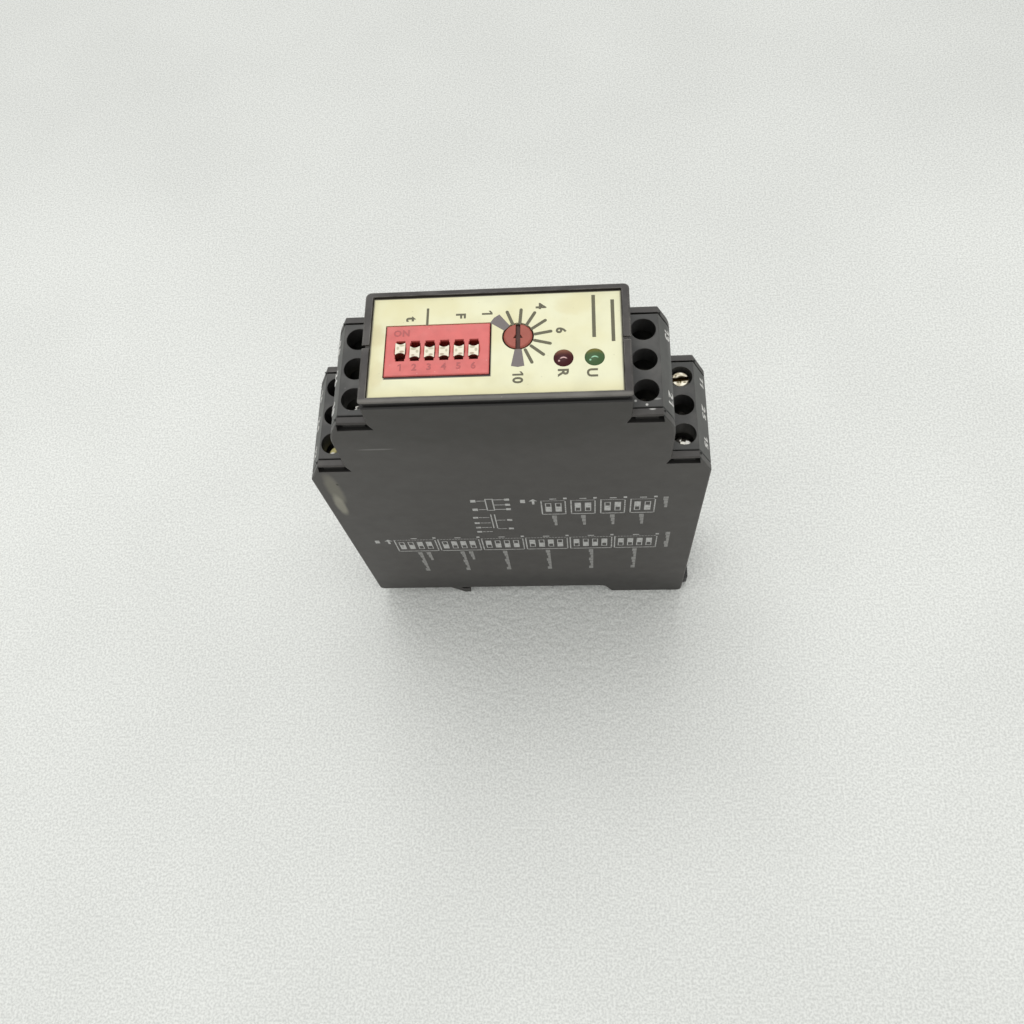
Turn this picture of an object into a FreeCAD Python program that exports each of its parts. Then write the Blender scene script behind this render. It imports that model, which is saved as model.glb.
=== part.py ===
"""Multifunction timer relay for a 35 mm rail, standing on its rail foot with the front panel up.

Millimetres, +Z up, +X along the module's length and +Y across its width. The module is drawn about
the middle of its housing, and every piece is moved at export so that the origin is the middle of
the overall base, the end of the rail clip included.
"""

import math
import os

import FreeCAD
import Part
import Sketcher

doc = FreeCAD.newDocument("timer_relay")
sheet = doc.addObject("Spreadsheet::Sheet", "Sizes")

SIZES = {
    # Housing shell
    "height": 100.0,
    "width": 22.5,
    "half_length": 39.0,
    "wall": 1.4,
    "end_wall": 1.6,
    "rail_seat": 4.4,
    "floor_top": 6.0,
    "wall_drop": 2.0,
    "edge_bevel": 0.25,
    "corner_round": 1.2,
    "lip_start": 19.1,
    "lip_flat": 21.1,
    "shelf_depth": 1.3,
    "shelf_height": 1.5,
    "rib_width": 1.2,
    "rib_height": 3.0,
    "rib_length": 50.0,
    # Steps of the side walls
    "step_in": 23.15,
    "upper_drop": 7.0,
    "upper_flat": 28.45,
    "upper_end": 31.0,
    "upper_bevel": 5.0,
    "upper_round": 9.0,
    "lower_flat": 36.2,
    "lower_bevel": 5.9,
    # Snap windows and the latches in them
    "window_height": 2.2,
    "window_bridge": 0.3,
    "window_inner": -0.1,
    "window_outer": 0.05,
    "window_inner_slant": 0.8,
    "window_outer_slant": 0.35,
    "latch_length": 4.0,
    "latch_out": 0.9,
    "latch_height": 1.2,
    # Fixed rail hook
    "hook_inset": 0.35,
    "hook_root": 21.3,
    "hook_tip": 15.8,
    "hook_land": 17.2,
    "hook_slot_depth": 17.7,
    "hook_slot_floor": 2.4,
    # Rail clip, its guide and its spring
    "guide_height": 0.9,
    "guide_width": 1.25,
    "clip_side_gap": 0.35,
    "clip_nose": 17.2,
    "clip_nose_top": 3.0,
    "clip_nose_low": 1.9,
    "clip_shoulder": 19.5,
    "clip_bottom": 1.05,
    "clip_top": 4.2,
    "clip_out": 1.5,
    "clip_round": 0.6,
    "eye_start": 36.4,
    "eye_end": 38.6,
    "eye_half_width": 3.0,
    "slot_start": 24.0,
    "slot_end": 34.6,
    "slot_half_width": 2.0,
    "post_start": 33.0,
    "post_end": 34.5,
    "post_half_width": 1.4,
    "post_bottom": 1.4,
    "spring_strip": 0.35,
    "spring_half_height": 1.0,
    "spring_middle": 2.6,
    "spring_bend": 0.45,
    "spring_half_span": 1.1,
    "spring_folds": 8,
    # Front cap
    "cap_half_length": 23.15,
    "cap_flange": 0.35,
    "cap_far_corner": 1.0,
    "cap_near_corner": 0.5,
    "cap_edge": 0.2,
    "cap_neck_inset": 0.6,
    "cap_skirt_inset": 0.55,
    "cap_skirt_gap": 0.1,
    "cap_skirt_wall": 1.3,
    "cap_ceiling_drop": 2.8,
    "cap_notch_half_width": 0.35,
    "cap_notch_depth": 0.45,
    "bezel_end": 1.35,
    "bezel_side": 1.0,
    "recess_drop": 0.95,
    "cap_post_radius": 0.9,
    "cap_post_x": 19.5,
    "cap_post_y": 7.2,
    # Legend plate
    "plate_gap": 0.1,
    "plate_thick": 0.5,
    # DIP switch
    "dip_left": -19.0,
    "dip_right": -0.95,
    "dip_near": -6.0,
    "dip_far": 4.15,
    "dip_drop": 0.3,
    "dip_edge": 0.15,
    "dip_window_gap": 0.2,
    "dip_ways": 6,
    "dip_first": -16.35,
    "dip_pitch": 2.54,
    "dip_slot_middle": -1.03,
    "dip_slot_length": 4.05,
    "dip_slot_half_width": 0.77,
    "dip_slot_depth": 1.75,
    "dip_dish_depth": 0.35,
    "dip_dish_half_width": 1.32,
    "dip_dish_half_length": 2.05,
    "dip_lead_width": 0.6,
    "dip_lead_out": 0.9,
    "dip_lead_thick": 0.3,
    "slider_half_width": 0.86,
    "slider_length": 2.25,
    "slider_travel": 0.75,
    "slider_proud": 0.25,
    "slider_bite": 0.3,
    "slider_bite_radius": 1.1,
    "slider_gap": 0.05,
    # Time knob and potentiometer
    "knob_x": 3.9,
    "knob_y": 1.33,
    "knob_radius": 2.5,
    "knob_hole_gap": 0.25,
    "knob_drop": 0.3,
    "knob_thick": 1.3,
    "knob_edge": 0.25,
    "knob_slot_half_width": 0.38,
    "knob_slot_depth": 0.6,
    "knob_arrow_radius": 0.95,
    "knob_stem_radius": 1.5,
    "knob_stem_length": 3.7,
    "pot_half_side": 4.6,
    "pot_tall": 4.2,
    "pot_bore_gap": 0.05,
    "pot_bore_end_gap": 0.2,
    # Lamps
    "red_lamp_x": 11.65,
    "green_lamp_x": 16.9,
    "lamp_y": -3.37,
    "lamp_radius": 1.65,
    "lamp_hole_gap": 0.05,
    "lamp_drop": 0.1,
    "lamp_dome_radius": 3.6,
    "lamp_flange_out": 0.4,
    "lamp_lead_length": 2.2,
    "lamp_flange_thick": 1.0,
    "lamp_lead_half": 0.25,
    "lamp_lead_offset": 1.27,
    # Terminal blocks
    "block_gap": 0.2,
    "block_edge": 0.2,
    "block_floor": 1.2,
    "upper_inner": 21.6,
    "lower_inner": 29.5,
    "upper_axis": 25.7,
    "lower_axis": 33.65,
    "terminal_pitch": 6.25,
    "well_gap": 0.45,
    "chamber_ceiling": 3.6,
    "chamber_floor": 15.2,
    "chamber_half_width": 2.6,
    "chamber_reach": 2.75,
    "chamber_low_reach": 1.95,
    "entry_half_width": 1.8,
    "entry_low": 9.6,
    "entry_high": 6.6,
    "funnel_flare": 0.55,
    "funnel_depth": 1.0,
    # Contact bars
    "bar_top": 9.6,
    "bar_thick": 2.0,
    "bar_half_width": 2.3,
    "bar_reach": 2.6,
    "bar_start": 0.2,
    "thread_gap": 0.05,
    "bar_leg": 0.8,
    "tail_half_width": 0.6,
    "tail_thick": 0.8,
    "tail_drop": 0.6,
    "tail_far": 2.6,
    "tail_middle": 1.4,
    # Terminal screws and clamp plates
    "screw_head_radius": 1.8,
    "screw_head_depth": 5.6,
    "screw_head_height": 2.9,
    "screw_head_bevel": 0.3,
    "screw_shank_radius": 1.45,
    "screw_end": 15.0,
    "screw_slot_half_width": 0.45,
    "screw_slot_depth": 0.9,
    "plate_top_depth": 8.52,
    "clamp_thick": 1.0,
    "clamp_half_length": 2.45,
    "clamp_half_width": 2.3,
    "backed_out": 4.6,
    "half_turned_right": 1.1,
    "half_turned_left": 1.3,
    "loosened": 0.6,
    # Circuit boards
    "board_thick": 1.6,
    "board_near": -5.8,
    "board_low_half": 28.8,
    "board_high_half": 21.4,
    "board_step_drop": 2.6,
    "front_board_gap": 0.35,
    "front_board_drop": 7.4,
    # Sealed pieces on the main board
    "relay_half_length": 14.3,
    "relay_tall": 12.3,
    "relay_width": 10.1,
    "relay_low_z": 12.0,
    "relay_high_z": 26.0,
    "film_left": -25.0,
    "film_right": -1.0,
    "film_tall": 8.5,
    "film_low": 41.0,
    "film_high": 56.0,
    "smooth_x": 12.5,
    "smooth_z": 50.0,
    "smooth_radius": 5.0,
    "smooth_tall": 12.5,
    "smooth_edge": 0.6,
    "chip_half_length": 9.7,
    "chip_low": 63.0,
    "chip_high": 69.4,
    "chip_tall": 3.3,
    "piece_edge": 0.5,
    # Over-length of cutting tools
    "past": 5.0,
}

for row, (alias, number) in enumerate(SIZES.items(), 1):
    sheet.set(f"A{row}", alias)
    sheet.set(f"B{row}", str(number))
    sheet.setAlias(f"B{row}", alias)
doc.recompute()


class Size:
    """A length: the expression that binds it to the sheet, and its present value."""

    def __init__(self, text, value):
        self.text = text
        self.value = value

    def _join(self, sign, other, value):
        return Size(f"({self.text} {sign} {other.text})", value)

    def __add__(self, other):
        other = as_size(other)
        return self._join("+", other, self.value + other.value)

    def __sub__(self, other):
        other = as_size(other)
        return self._join("-", other, self.value - other.value)

    def __mul__(self, factor):
        factor = as_size(factor)
        return self._join("*", factor, self.value * factor.value)

    def __truediv__(self, divisor):
        divisor = as_size(divisor)
        return self._join("/", divisor, self.value / divisor.value)

    def __neg__(self):
        return Size(f"(-1 * {self.text})", -self.value)


class Sizes:
    """Gives every cell of the sheet by its alias."""

    def __getattr__(self, alias):
        return Size(f"Sizes.{alias}", float(sheet.get(alias)))


def as_size(value):
    """A plain number as a length."""
    return value if isinstance(value, Size) else Size(str(value), float(value))


s = Sizes()
half_width = s.width / 2
inner_half = half_width - s.wall
wall_top = s.height - s.wall_drop
upper_top = s.height - s.upper_drop
block_height = s.chamber_floor + s.block_floor
lower_top = upper_top - block_height
lower_bottom = lower_top - block_height
block_half = inner_half - s.block_gap
well_radius = s.screw_head_radius + s.well_gap
thread_radius = s.screw_shank_radius + s.thread_gap
skirt_half_length = s.cap_half_length - s.cap_skirt_inset
skirt_half_width = inner_half - s.cap_skirt_gap
hollow_end = skirt_half_length - s.cap_skirt_wall
hollow_side = skirt_half_width - s.cap_skirt_wall
cap_ceiling = s.height - s.cap_ceiling_drop
recess_half_length = s.cap_half_length - s.bezel_end
recess_half_width = half_width - s.bezel_side
recess_floor = s.height - s.recess_drop
front_board_top = s.height - s.front_board_drop
dip_top = s.height - s.dip_drop


# Shared shapes


def bind(obj, name, length):
    """Ties one property of an object to the sheet."""
    obj.setExpression(name, as_size(length).text)


def place(obj, x, y, z):
    """Ties an object's position to the sheet."""
    for axis, value in zip("xyz", (x, y, z)):
        bind(obj, f"Placement.Base.{axis}", value)


def box(x0, x1, y0, y1, z0, z1):
    """A block between two corners."""
    obj = doc.addObject("Part::Box", "Block")
    bind(obj, "Length", as_size(x1) - x0)
    bind(obj, "Width", as_size(y1) - y0)
    bind(obj, "Height", as_size(z1) - z0)
    place(obj, x0, y0, z0)
    return obj


def post(radius, x, y, z0, z1):
    """An upright cylinder."""
    obj = doc.addObject("Part::Cylinder", "Post")
    bind(obj, "Radius", radius)
    bind(obj, "Height", as_size(z1) - z0)
    place(obj, x, y, z0)
    return obj


def lying(radius, x, z, y0, y1):
    """A cylinder that lies along Y."""
    obj = doc.addObject("Part::Cylinder", "Lying")
    bind(obj, "Radius", radius)
    bind(obj, "Height", as_size(y1) - y0)
    obj.Placement.Rotation = FreeCAD.Rotation(FreeCAD.Vector(1, 0, 0), -90)
    place(obj, x, y0, z)
    return obj


def fuse(*pieces):
    """One solid out of several that meet."""
    obj = doc.addObject("Part::MultiFuse", "Joined")
    obj.Shapes = list(pieces)
    obj.Refine = True
    return obj


def cut(base, *tools):
    """What is left of a solid after every tool is taken away."""
    obj = doc.addObject("Part::Cut", "Cut")
    obj.Base = base
    obj.Tool = tools[0] if len(tools) == 1 else fuse(*tools)
    obj.Refine = True
    return obj


def mirrored(source):
    """The same piece on the left half."""
    obj = doc.addObject("Part::Mirroring", "Mirrored")
    obj.Source = source
    obj.Normal = FreeCAD.Vector(1, 0, 0)
    return obj


def plane_of(body, role):
    """One of a body's own origin planes."""
    for feature in body.Origin.OriginFeatures:
        if feature.Role == role:
            return feature
    raise ValueError(f"no origin plane {role}")


def outline(body, role, points):
    """A closed sketch through points that are each tied to the sheet."""
    sketch = body.newObject("Sketcher::SketchObject", "Outline")
    sketch.AttachmentSupport = [(plane_of(body, role), "")]
    sketch.MapMode = "FlatFace"
    corners = [FreeCAD.Vector(as_size(u).value, as_size(v).value, 0) for u, v in points]
    count = len(corners)
    for i in range(count):
        sketch.addGeometry(Part.LineSegment(corners[i], corners[(i + 1) % count]), False)
    for i in range(count):
        sketch.addConstraint(Sketcher.Constraint("Coincident", i, 2, (i + 1) % count, 1))
    for i, pair in enumerate(points):
        for kind, value in zip(("DistanceX", "DistanceY"), pair):
            value = as_size(value)
            if value.value < 0:
                rule = Sketcher.Constraint(kind, i, 1, -1, 1, -value.value)
                value = -value
            else:
                rule = Sketcher.Constraint(kind, -1, 1, i, 1, value.value)
            index = sketch.addConstraint(rule)
            sketch.setExpression(f"Constraints[{index}]", value.text)
    return sketch


def padded(body, sketch, length, symmetric):
    """Raises a sketch to a solid, both ways or upwards."""
    pad = body.newObject("PartDesign::Pad", "Raised")
    pad.Profile = sketch
    pad.SideType = "Symmetric" if symmetric else "One side"
    bind(pad, "Length", length)
    body.Tip = pad
    doc.recompute()
    return pad


def rounded(body, radius, wanted):
    """Rounds the edges of a body's tip that a test picks."""
    base = body.Tip
    names = [f"Edge{i}" for i, edge in enumerate(base.Shape.Edges, 1) if wanted(edge)]
    fillet = body.newObject("PartDesign::Fillet", "Rounded")
    fillet.Base = (base, names)
    bind(fillet, "Radius", radius)
    body.Tip = fillet
    doc.recompute()
    return fillet


def bevelled(body, size, wanted):
    """Bevels the edges of a body's tip that a test picks."""
    base = body.Tip
    names = [f"Edge{i}" for i, edge in enumerate(base.Shape.Edges, 1) if wanted(edge)]
    chamfer = body.newObject("PartDesign::Chamfer", "Bevelled")
    chamfer.Base = (base, names)
    bind(chamfer, "Size", size)
    body.Tip = chamfer
    doc.recompute()
    return chamfer


def turned(points, x, y):
    """A body: a half profile in X and Z, turned about its upright axis and stood at a place."""
    body = doc.addObject("PartDesign::Body", "Turned")
    sketch = outline(body, "XZ_Plane", points)
    round_form = body.newObject("PartDesign::Revolution", "Round")
    round_form.Profile = sketch
    round_form.ReferenceAxis = (sketch, ["V_Axis"])
    body.Tip = round_form
    place(body, x, y, 0)
    doc.recompute()
    return body


def section(points, width):
    """A body: a side profile in X and Z, raised evenly to both sides."""
    body = doc.addObject("PartDesign::Body", "Section")
    padded(body, outline(body, "XZ_Plane", points), width, True)
    return body


def slab(x0, x1, y0, y1, z0, z1):
    """A body: a flat block between two corners."""
    body = doc.addObject("PartDesign::Body", "Slab")
    sketch = outline(body, "XY_Plane", [(x0, y0), (x1, y0), (x1, y1), (x0, y1)])
    bind(sketch, "AttachmentOffset.Base.z", z0)
    padded(body, sketch, as_size(z1) - z0, False)
    return body


def bevelled_slab(x0, x1, y0, y1, z0, z1):
    """A body: a flat block with small bevels on its upright corners."""
    body = slab(x0, x1, y0, y1, z0, z1)
    bevelled(body, s.piece_edge, is_upright)
    return body


def spans(edge):
    """How far an edge reaches along X, Y and Z."""
    limits = edge.BoundBox
    return limits.XLength, limits.YLength, limits.ZLength


TINY = 1e-6


def is_upright(edge):
    """A test for straight edges along Z."""
    x, y, z = spans(edge)
    return x < TINY and y < TINY and z > TINY


def runs_across(edge):
    """A test for straight edges along Y."""
    x, y, z = spans(edge)
    return x < TINY and z < TINY and y > TINY


def lies_at(axis, value):
    """A test for edges that lie in one plane."""

    def wanted(edge):
        low = (edge.BoundBox.XMin, edge.BoundBox.YMin, edge.BoundBox.ZMin)[axis]
        return spans(edge)[axis] < TINY and abs(low - value) < TINY

    return wanted


nodes = []


def node(label, obj):
    """Names a finished piece, so that it is exported."""
    obj.Label = label
    nodes.append(obj)
    return obj


# Housing shell


def housing():
    """The moulded shell: stepped walls, floor, cheeks, rail hook, guides, shelves and ribs."""
    upper_foot = upper_top - s.upper_bevel
    lower_foot = lower_top - s.lower_bevel
    right = [
        (s.step_in, upper_top),
        (s.upper_flat, upper_top),
        (s.upper_end, upper_foot),
        (s.upper_end, lower_top),
        (s.lower_flat, lower_top),
        (s.half_length, lower_foot),
    ]
    points = [
        (-s.half_length, s.rail_seat),
        (s.lip_start, s.rail_seat),
        (s.lip_flat, 0),
        (s.half_length, 0),
        *reversed(right),
        (s.step_in, wall_top),
        (-s.step_in, wall_top),
        *[(-x, z) for x, z in right],
    ]
    body = section(points, s.width)
    low = s.rail_seat.value + TINY
    rounded(body, s.corner_round, lambda e: runs_across(e) and e.BoundBox.ZMax < low)
    rounded(body, s.upper_round, lambda e: runs_across(e) and lies_at(2, upper_foot.value)(e))
    side = half_width.value
    bevelled(body, s.edge_bevel, lambda e: lies_at(1, side)(e) or lies_at(1, -side)(e))

    inside = s.half_length - s.end_wall
    beyond = s.half_length + s.past
    tools = [
        box(-inside, inside, -inner_half, inner_half, s.floor_top, lower_bottom),
        box(-beyond, beyond, -inner_half, inner_half, lower_bottom, s.height + s.past),
        box(s.clip_nose - s.past, beyond, -inner_half, inner_half, -s.past, s.rail_seat),
    ]
    across = half_width + s.past
    for top, start, end in (
        (upper_top, s.step_in, s.upper_flat),
        (lower_top, s.upper_end, s.lower_flat),
    ):
        ceiling = top - s.window_bridge
        sill = ceiling - s.window_height
        inner, outer = start + s.window_inner, end + s.window_outer
        window = section(
            [
                (inner - s.window_inner_slant, sill),
                (outer + s.window_outer_slant, sill),
                (outer, ceiling),
                (inner, ceiling),
            ],
            across * 2,
        )
        tools.extend((window, mirrored(window)))
    shell = cut(body, *tools)

    hook = section(
        [
            (-s.hook_root, s.rail_seat),
            (-s.hook_land, 0),
            (-s.hook_tip, 0),
            (-s.hook_tip, s.hook_slot_floor),
            (-s.hook_slot_depth, s.hook_slot_floor),
            (-s.hook_slot_depth, s.rail_seat),
        ],
        s.width - s.hook_inset * 2,
    )
    guide_in = inner_half - s.guide_width
    shelf_in = inner_half - s.shelf_depth
    shelf_low = lower_bottom - s.shelf_height
    rib_far = s.board_near + s.board_thick
    rib_top = s.floor_top + s.rib_height
    rib_end = s.rib_length / 2
    extras = [
        hook,
        box(s.lip_flat, inside, -inner_half, -guide_in, 0, s.guide_height),
        box(s.lip_flat, inside, guide_in, inner_half, 0, s.guide_height),
        box(s.post_start, s.post_end, -s.post_half_width, s.post_half_width, s.post_bottom, s.rail_seat),
        box(-rib_end, rib_end, rib_far, rib_far + s.rib_width, s.floor_top, rib_top),
        box(-rib_end, rib_end, s.board_near - s.rib_width, s.board_near, s.floor_top, rib_top),
    ]
    for x0, x1 in ((s.lower_inner, inside), (-inside, -s.lower_inner)):
        extras.append(box(x0, x1, shelf_in, inner_half, shelf_low, lower_bottom))
        extras.append(box(x0, x1, -inner_half, -shelf_in, shelf_low, lower_bottom))
    return node("housing_shell", fuse(shell, *extras))


# Rail clip and its spring


def rail_clip():
    """The sliding jaw of the rail foot: nose, pull eye and the slot that holds its spring."""
    end = s.half_length + s.clip_out
    body = section(
        [
            (s.clip_shoulder, s.clip_bottom),
            (end, s.clip_bottom),
            (end, s.clip_top),
            (s.clip_shoulder, s.clip_top),
            (s.clip_shoulder, s.clip_nose_top),
            (s.clip_nose, s.clip_nose_top),
            (s.clip_nose, s.clip_nose_low),
        ],
        (inner_half - s.clip_side_gap) * 2,
    )
    rounded(body, s.clip_round, lambda e: is_upright(e) and abs(e.BoundBox.XMax - end.value) < TINY)
    low, high = -s.past, s.clip_top + s.past
    spring_slot = box(s.slot_start, s.slot_end, -s.slot_half_width, s.slot_half_width, low, high)
    eye = box(s.eye_start, s.eye_end, -s.eye_half_width, s.eye_half_width, low, high)
    return node("rail_clip", cut(body, spring_slot, eye))


def clip_spring():
    """A steel strip folded to and fro between the clip's slot and the housing's post."""
    strip = s.spring_strip.value
    bend = s.spring_bend.value
    reach = s.spring_half_span.value
    folds = int(s.spring_folds.value)
    start = s.slot_start.value
    end = s.post_start.value
    pitch = (end - start - strip) / (folds - 1)
    middle = s.spring_middle.value
    legs = [start + strip / 2 + i * pitch for i in range(folds)]
    edges = []
    turn = min(bend, pitch / 2)
    side = -1
    for i, x in enumerate(legs):
        first = FreeCAD.Vector(x, side * reach, middle)
        last = FreeCAD.Vector(x, -side * reach, middle)
        edges.append(Part.makeLine(first, last))
        side = -side
        if i + 1 < folds:
            top = FreeCAD.Vector(x + pitch / 2, side * (reach + turn), middle)
            after = FreeCAD.Vector(legs[i + 1], side * reach, middle)
            edges.append(Part.Arc(last, top, after).toShape())
    path = Part.Wire(edges)
    half = s.spring_half_height.value
    x, y = legs[0], -reach
    corners = [(x - strip / 2, middle - half), (x + strip / 2, middle - half)]
    corners += [(x + strip / 2, middle + half), (x - strip / 2, middle + half)]
    loop = [FreeCAD.Vector(u, y, w) for u, w in corners]
    profile = Part.makePolygon(loop + loop[:1])
    obj = doc.addObject("Part::Feature", "Strip")
    obj.Shape = path.makePipeShell([profile], True, False)
    return node("clip_spring", obj)


# Front cap and legend plate


def openings(low, high):
    """Tools for what shows through the cap and the plate: switch, knob and lamps."""
    gap = s.dip_window_gap
    return [
        box(s.dip_left - gap, s.dip_right + gap, s.dip_near - gap, s.dip_far + gap, low, high),
        post(s.knob_radius + s.knob_hole_gap, s.knob_x, s.knob_y, low, high),
        post(s.lamp_radius + s.lamp_hole_gap, s.red_lamp_x, s.lamp_y, low, high),
        post(s.lamp_radius + s.lamp_hole_gap, s.green_lamp_x, s.lamp_y, low, high),
    ]


def front_cap():
    """The bezel with its shadow groove, the plate's recess, the skirt and four board posts."""
    length, side = s.cap_half_length, half_width
    flange_low = s.height - s.cap_flange
    flange = slab(-length, length, -side, side, flange_low, s.height)
    rounded(flange, s.cap_near_corner, lambda e: is_upright(e) and e.BoundBox.YMax < 0)
    rounded(flange, s.cap_far_corner, lambda e: is_upright(e) and e.BoundBox.YMin > 0)
    bevelled(flange, s.cap_edge, lies_at(2, s.height.value))
    neck_side = side - s.cap_neck_inset
    neck_end = length - s.cap_neck_inset
    neck = box(-neck_end, neck_end, -neck_side, neck_side, wall_top, flange_low)
    skirt_end = skirt_half_length
    skirt_side = skirt_half_width
    skirt = box(-skirt_end, skirt_end, -skirt_side, skirt_side, upper_top, wall_top)
    recess_end, recess_side = recess_half_length, recess_half_width
    high = s.height + s.past
    recess = box(-recess_end, recess_end, -recess_side, recess_side, recess_floor, high)
    low = upper_top - s.past
    notch = s.cap_notch_half_width
    notch_low = s.height - s.cap_notch_depth
    cap = cut(
        fuse(flange, neck, skirt),
        recess,
        box(-hollow_end, hollow_end, -hollow_side, hollow_side, low, cap_ceiling),
        box(-length - s.past, length + s.past, -notch, notch, notch_low, high),
        *openings(low, high),
    )
    legs = []
    for x in (-s.cap_post_x, s.cap_post_x):
        for y in (-s.cap_post_y, s.cap_post_y):
            legs.append(post(s.cap_post_radius, x, y, front_board_top, cap_ceiling))
    return node("front_cap", fuse(cap, *legs))


def legend_plate():
    """The thin printed plate in the cap's recess."""
    end = recess_half_length - s.plate_gap
    side = recess_half_width - s.plate_gap
    top = recess_floor + s.plate_thick
    plate = box(-end, end, -side, side, recess_floor, top)
    return node("legend_plate", cut(plate, *openings(recess_floor - s.past, top + s.past)))


# DIP switch


def dip_switch():
    """The switch body with dished slots and leads, and its sliders with hollowed ends."""
    body = slab(s.dip_left, s.dip_right, s.dip_near, s.dip_far, front_board_top, dip_top)
    bevelled(body, s.dip_edge, lies_at(2, dip_top.value))
    middle = s.dip_slot_middle
    slot_half = s.dip_slot_length / 2
    track_half = (s.slider_length + s.slider_travel) / 2 + s.slider_gap
    slot_floor = dip_top - s.dip_slot_depth
    slots, dishes, leads = [], [], []
    lead_top = front_board_top + s.dip_lead_thick
    ways = range(int(s.dip_ways.value))
    for i in ways:
        x = s.dip_first + s.dip_pitch * i
        for w, reach in (
            (s.dip_slot_half_width, slot_half),
            (s.slider_half_width + s.slider_gap, track_half),
        ):
            slots.append(box(x - w, x + w, middle - reach, middle + reach, slot_floor, dip_top + s.past))
        dish = doc.addObject("Part::Ellipsoid", "Dish")
        bind(dish, "Radius1", s.dip_dish_depth * 2)
        bind(dish, "Radius2", s.dip_dish_half_width)
        bind(dish, "Radius3", s.dip_dish_half_length)
        place(dish, x, middle, dip_top + s.dip_dish_depth)
        dishes.append(dish)
        w = s.dip_lead_width / 2
        for y0, y1 in (
            (s.dip_near - s.dip_lead_out, s.dip_near + s.dip_lead_out),
            (s.dip_far - s.dip_lead_out, s.dip_far + s.dip_lead_out),
        ):
            leads.append(box(x - w, x + w, y0, y1, front_board_top, lead_top))
    node("dip_switch_body", cut(cut(fuse(body, *leads), *slots), *dishes))

    base, top = slot_floor + s.slider_gap, dip_top + s.slider_proud
    low, high = base - s.past, top + s.past
    bite = s.slider_bite_radius - s.slider_bite
    for i in ways:
        x = s.dip_first + s.dip_pitch * i
        shift = s.slider_travel / 2
        if i > 0:
            shift = -shift
        near = middle + shift - s.slider_length / 2
        far = near + s.slider_length
        w = s.slider_half_width
        hollows = [post(s.slider_bite_radius, x, y, low, high) for y in (near - bite, far + bite)]
        node(f"dip_slider_{i + 1}", cut(box(x - w, x + w, near, far, base, top), *hollows))


# Time knob, potentiometer and lamps


def time_knob():
    """The slotted disc with an arrow head, on the stem that turns in the potentiometer."""
    x, y = s.knob_x, s.knob_y
    top = s.height - s.knob_drop
    bottom = top - s.knob_thick
    stem_end = bottom - s.knob_stem_length
    disc = turned(
        [
            (0, stem_end),
            (s.knob_stem_radius, stem_end),
            (s.knob_stem_radius, bottom),
            (s.knob_radius, bottom),
            (s.knob_radius, top - s.knob_edge),
            (s.knob_radius - s.knob_edge, top),
            (0, top),
        ],
        x,
        y,
    )
    floor = top - s.knob_slot_depth
    w, reach = s.knob_slot_half_width, s.knob_radius + s.past
    slot = box(x - w, x + w, y - reach, y + reach, floor, top + s.past)
    arrow = doc.addObject("Part::Prism", "Arrow")
    arrow.Polygon = 3
    bind(arrow, "Circumradius", s.knob_arrow_radius)
    bind(arrow, "Height", s.knob_slot_depth + s.past)
    arrow.Placement.Rotation = FreeCAD.Rotation(FreeCAD.Vector(0, 0, 1), 90)
    place(arrow, x, y, floor)
    return node("time_knob", cut(disc, slot, arrow))


def potentiometer():
    """The potentiometer under the knob, with the bore its stem turns in."""
    x, y, side = s.knob_x, s.knob_y, s.pot_half_side
    top = front_board_top + s.pot_tall
    block = bevelled_slab(x - side, x + side, y - side, y + side, front_board_top, top)
    stem_end = s.height - s.knob_drop - s.knob_thick - s.knob_stem_length
    bore_radius = s.knob_stem_radius + s.pot_bore_gap
    bore = post(bore_radius, x, y, stem_end - s.pot_bore_end_gap, top + s.past)
    return node("potentiometer_body", cut(block, bore))


def lamp(label, x):
    """A round lamp with a low domed lens, a flange and two leads."""
    y = s.lamp_y
    low = front_board_top + s.lamp_lead_length
    flange_top = low + s.lamp_flange_thick
    flange_radius = s.lamp_radius + s.lamp_flange_out
    centre = s.height - s.lamp_drop - s.lamp_dome_radius
    rim_height = Size(
        f"sqrt({s.lamp_dome_radius.text} ^ 2 - {s.lamp_radius.text} ^ 2)",
        math.sqrt(s.lamp_dome_radius.value**2 - s.lamp_radius.value**2),
    )
    rim = centre + rim_height
    barrel = turned(
        [
            (0, low),
            (flange_radius, low),
            (flange_radius, flange_top),
            (s.lamp_radius, flange_top),
            (s.lamp_radius, rim),
            (0, rim),
        ],
        x,
        y,
    )
    dome = doc.addObject("Part::Sphere", "Dome")
    bind(dome, "Radius", s.lamp_dome_radius)
    bind(dome, "Angle1", Size(f"acos({s.lamp_radius.text} / {s.lamp_dome_radius.text})", 0))
    place(dome, x, y, centre)
    pieces = [barrel, dome]
    w = s.lamp_lead_half
    for middle in (x - s.lamp_lead_offset, x + s.lamp_lead_offset):
        pieces.append(box(middle - w, middle + w, y - w, y + w, front_board_top, low))
    return node(label, fuse(*pieces))


# Terminal blocks with their contacts, screws and clamps


def terminal_rows():
    """The three positions across the module, far one first."""
    return [("far", s.terminal_pitch), ("middle", s.terminal_pitch * 0), ("near", -s.terminal_pitch)]


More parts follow.
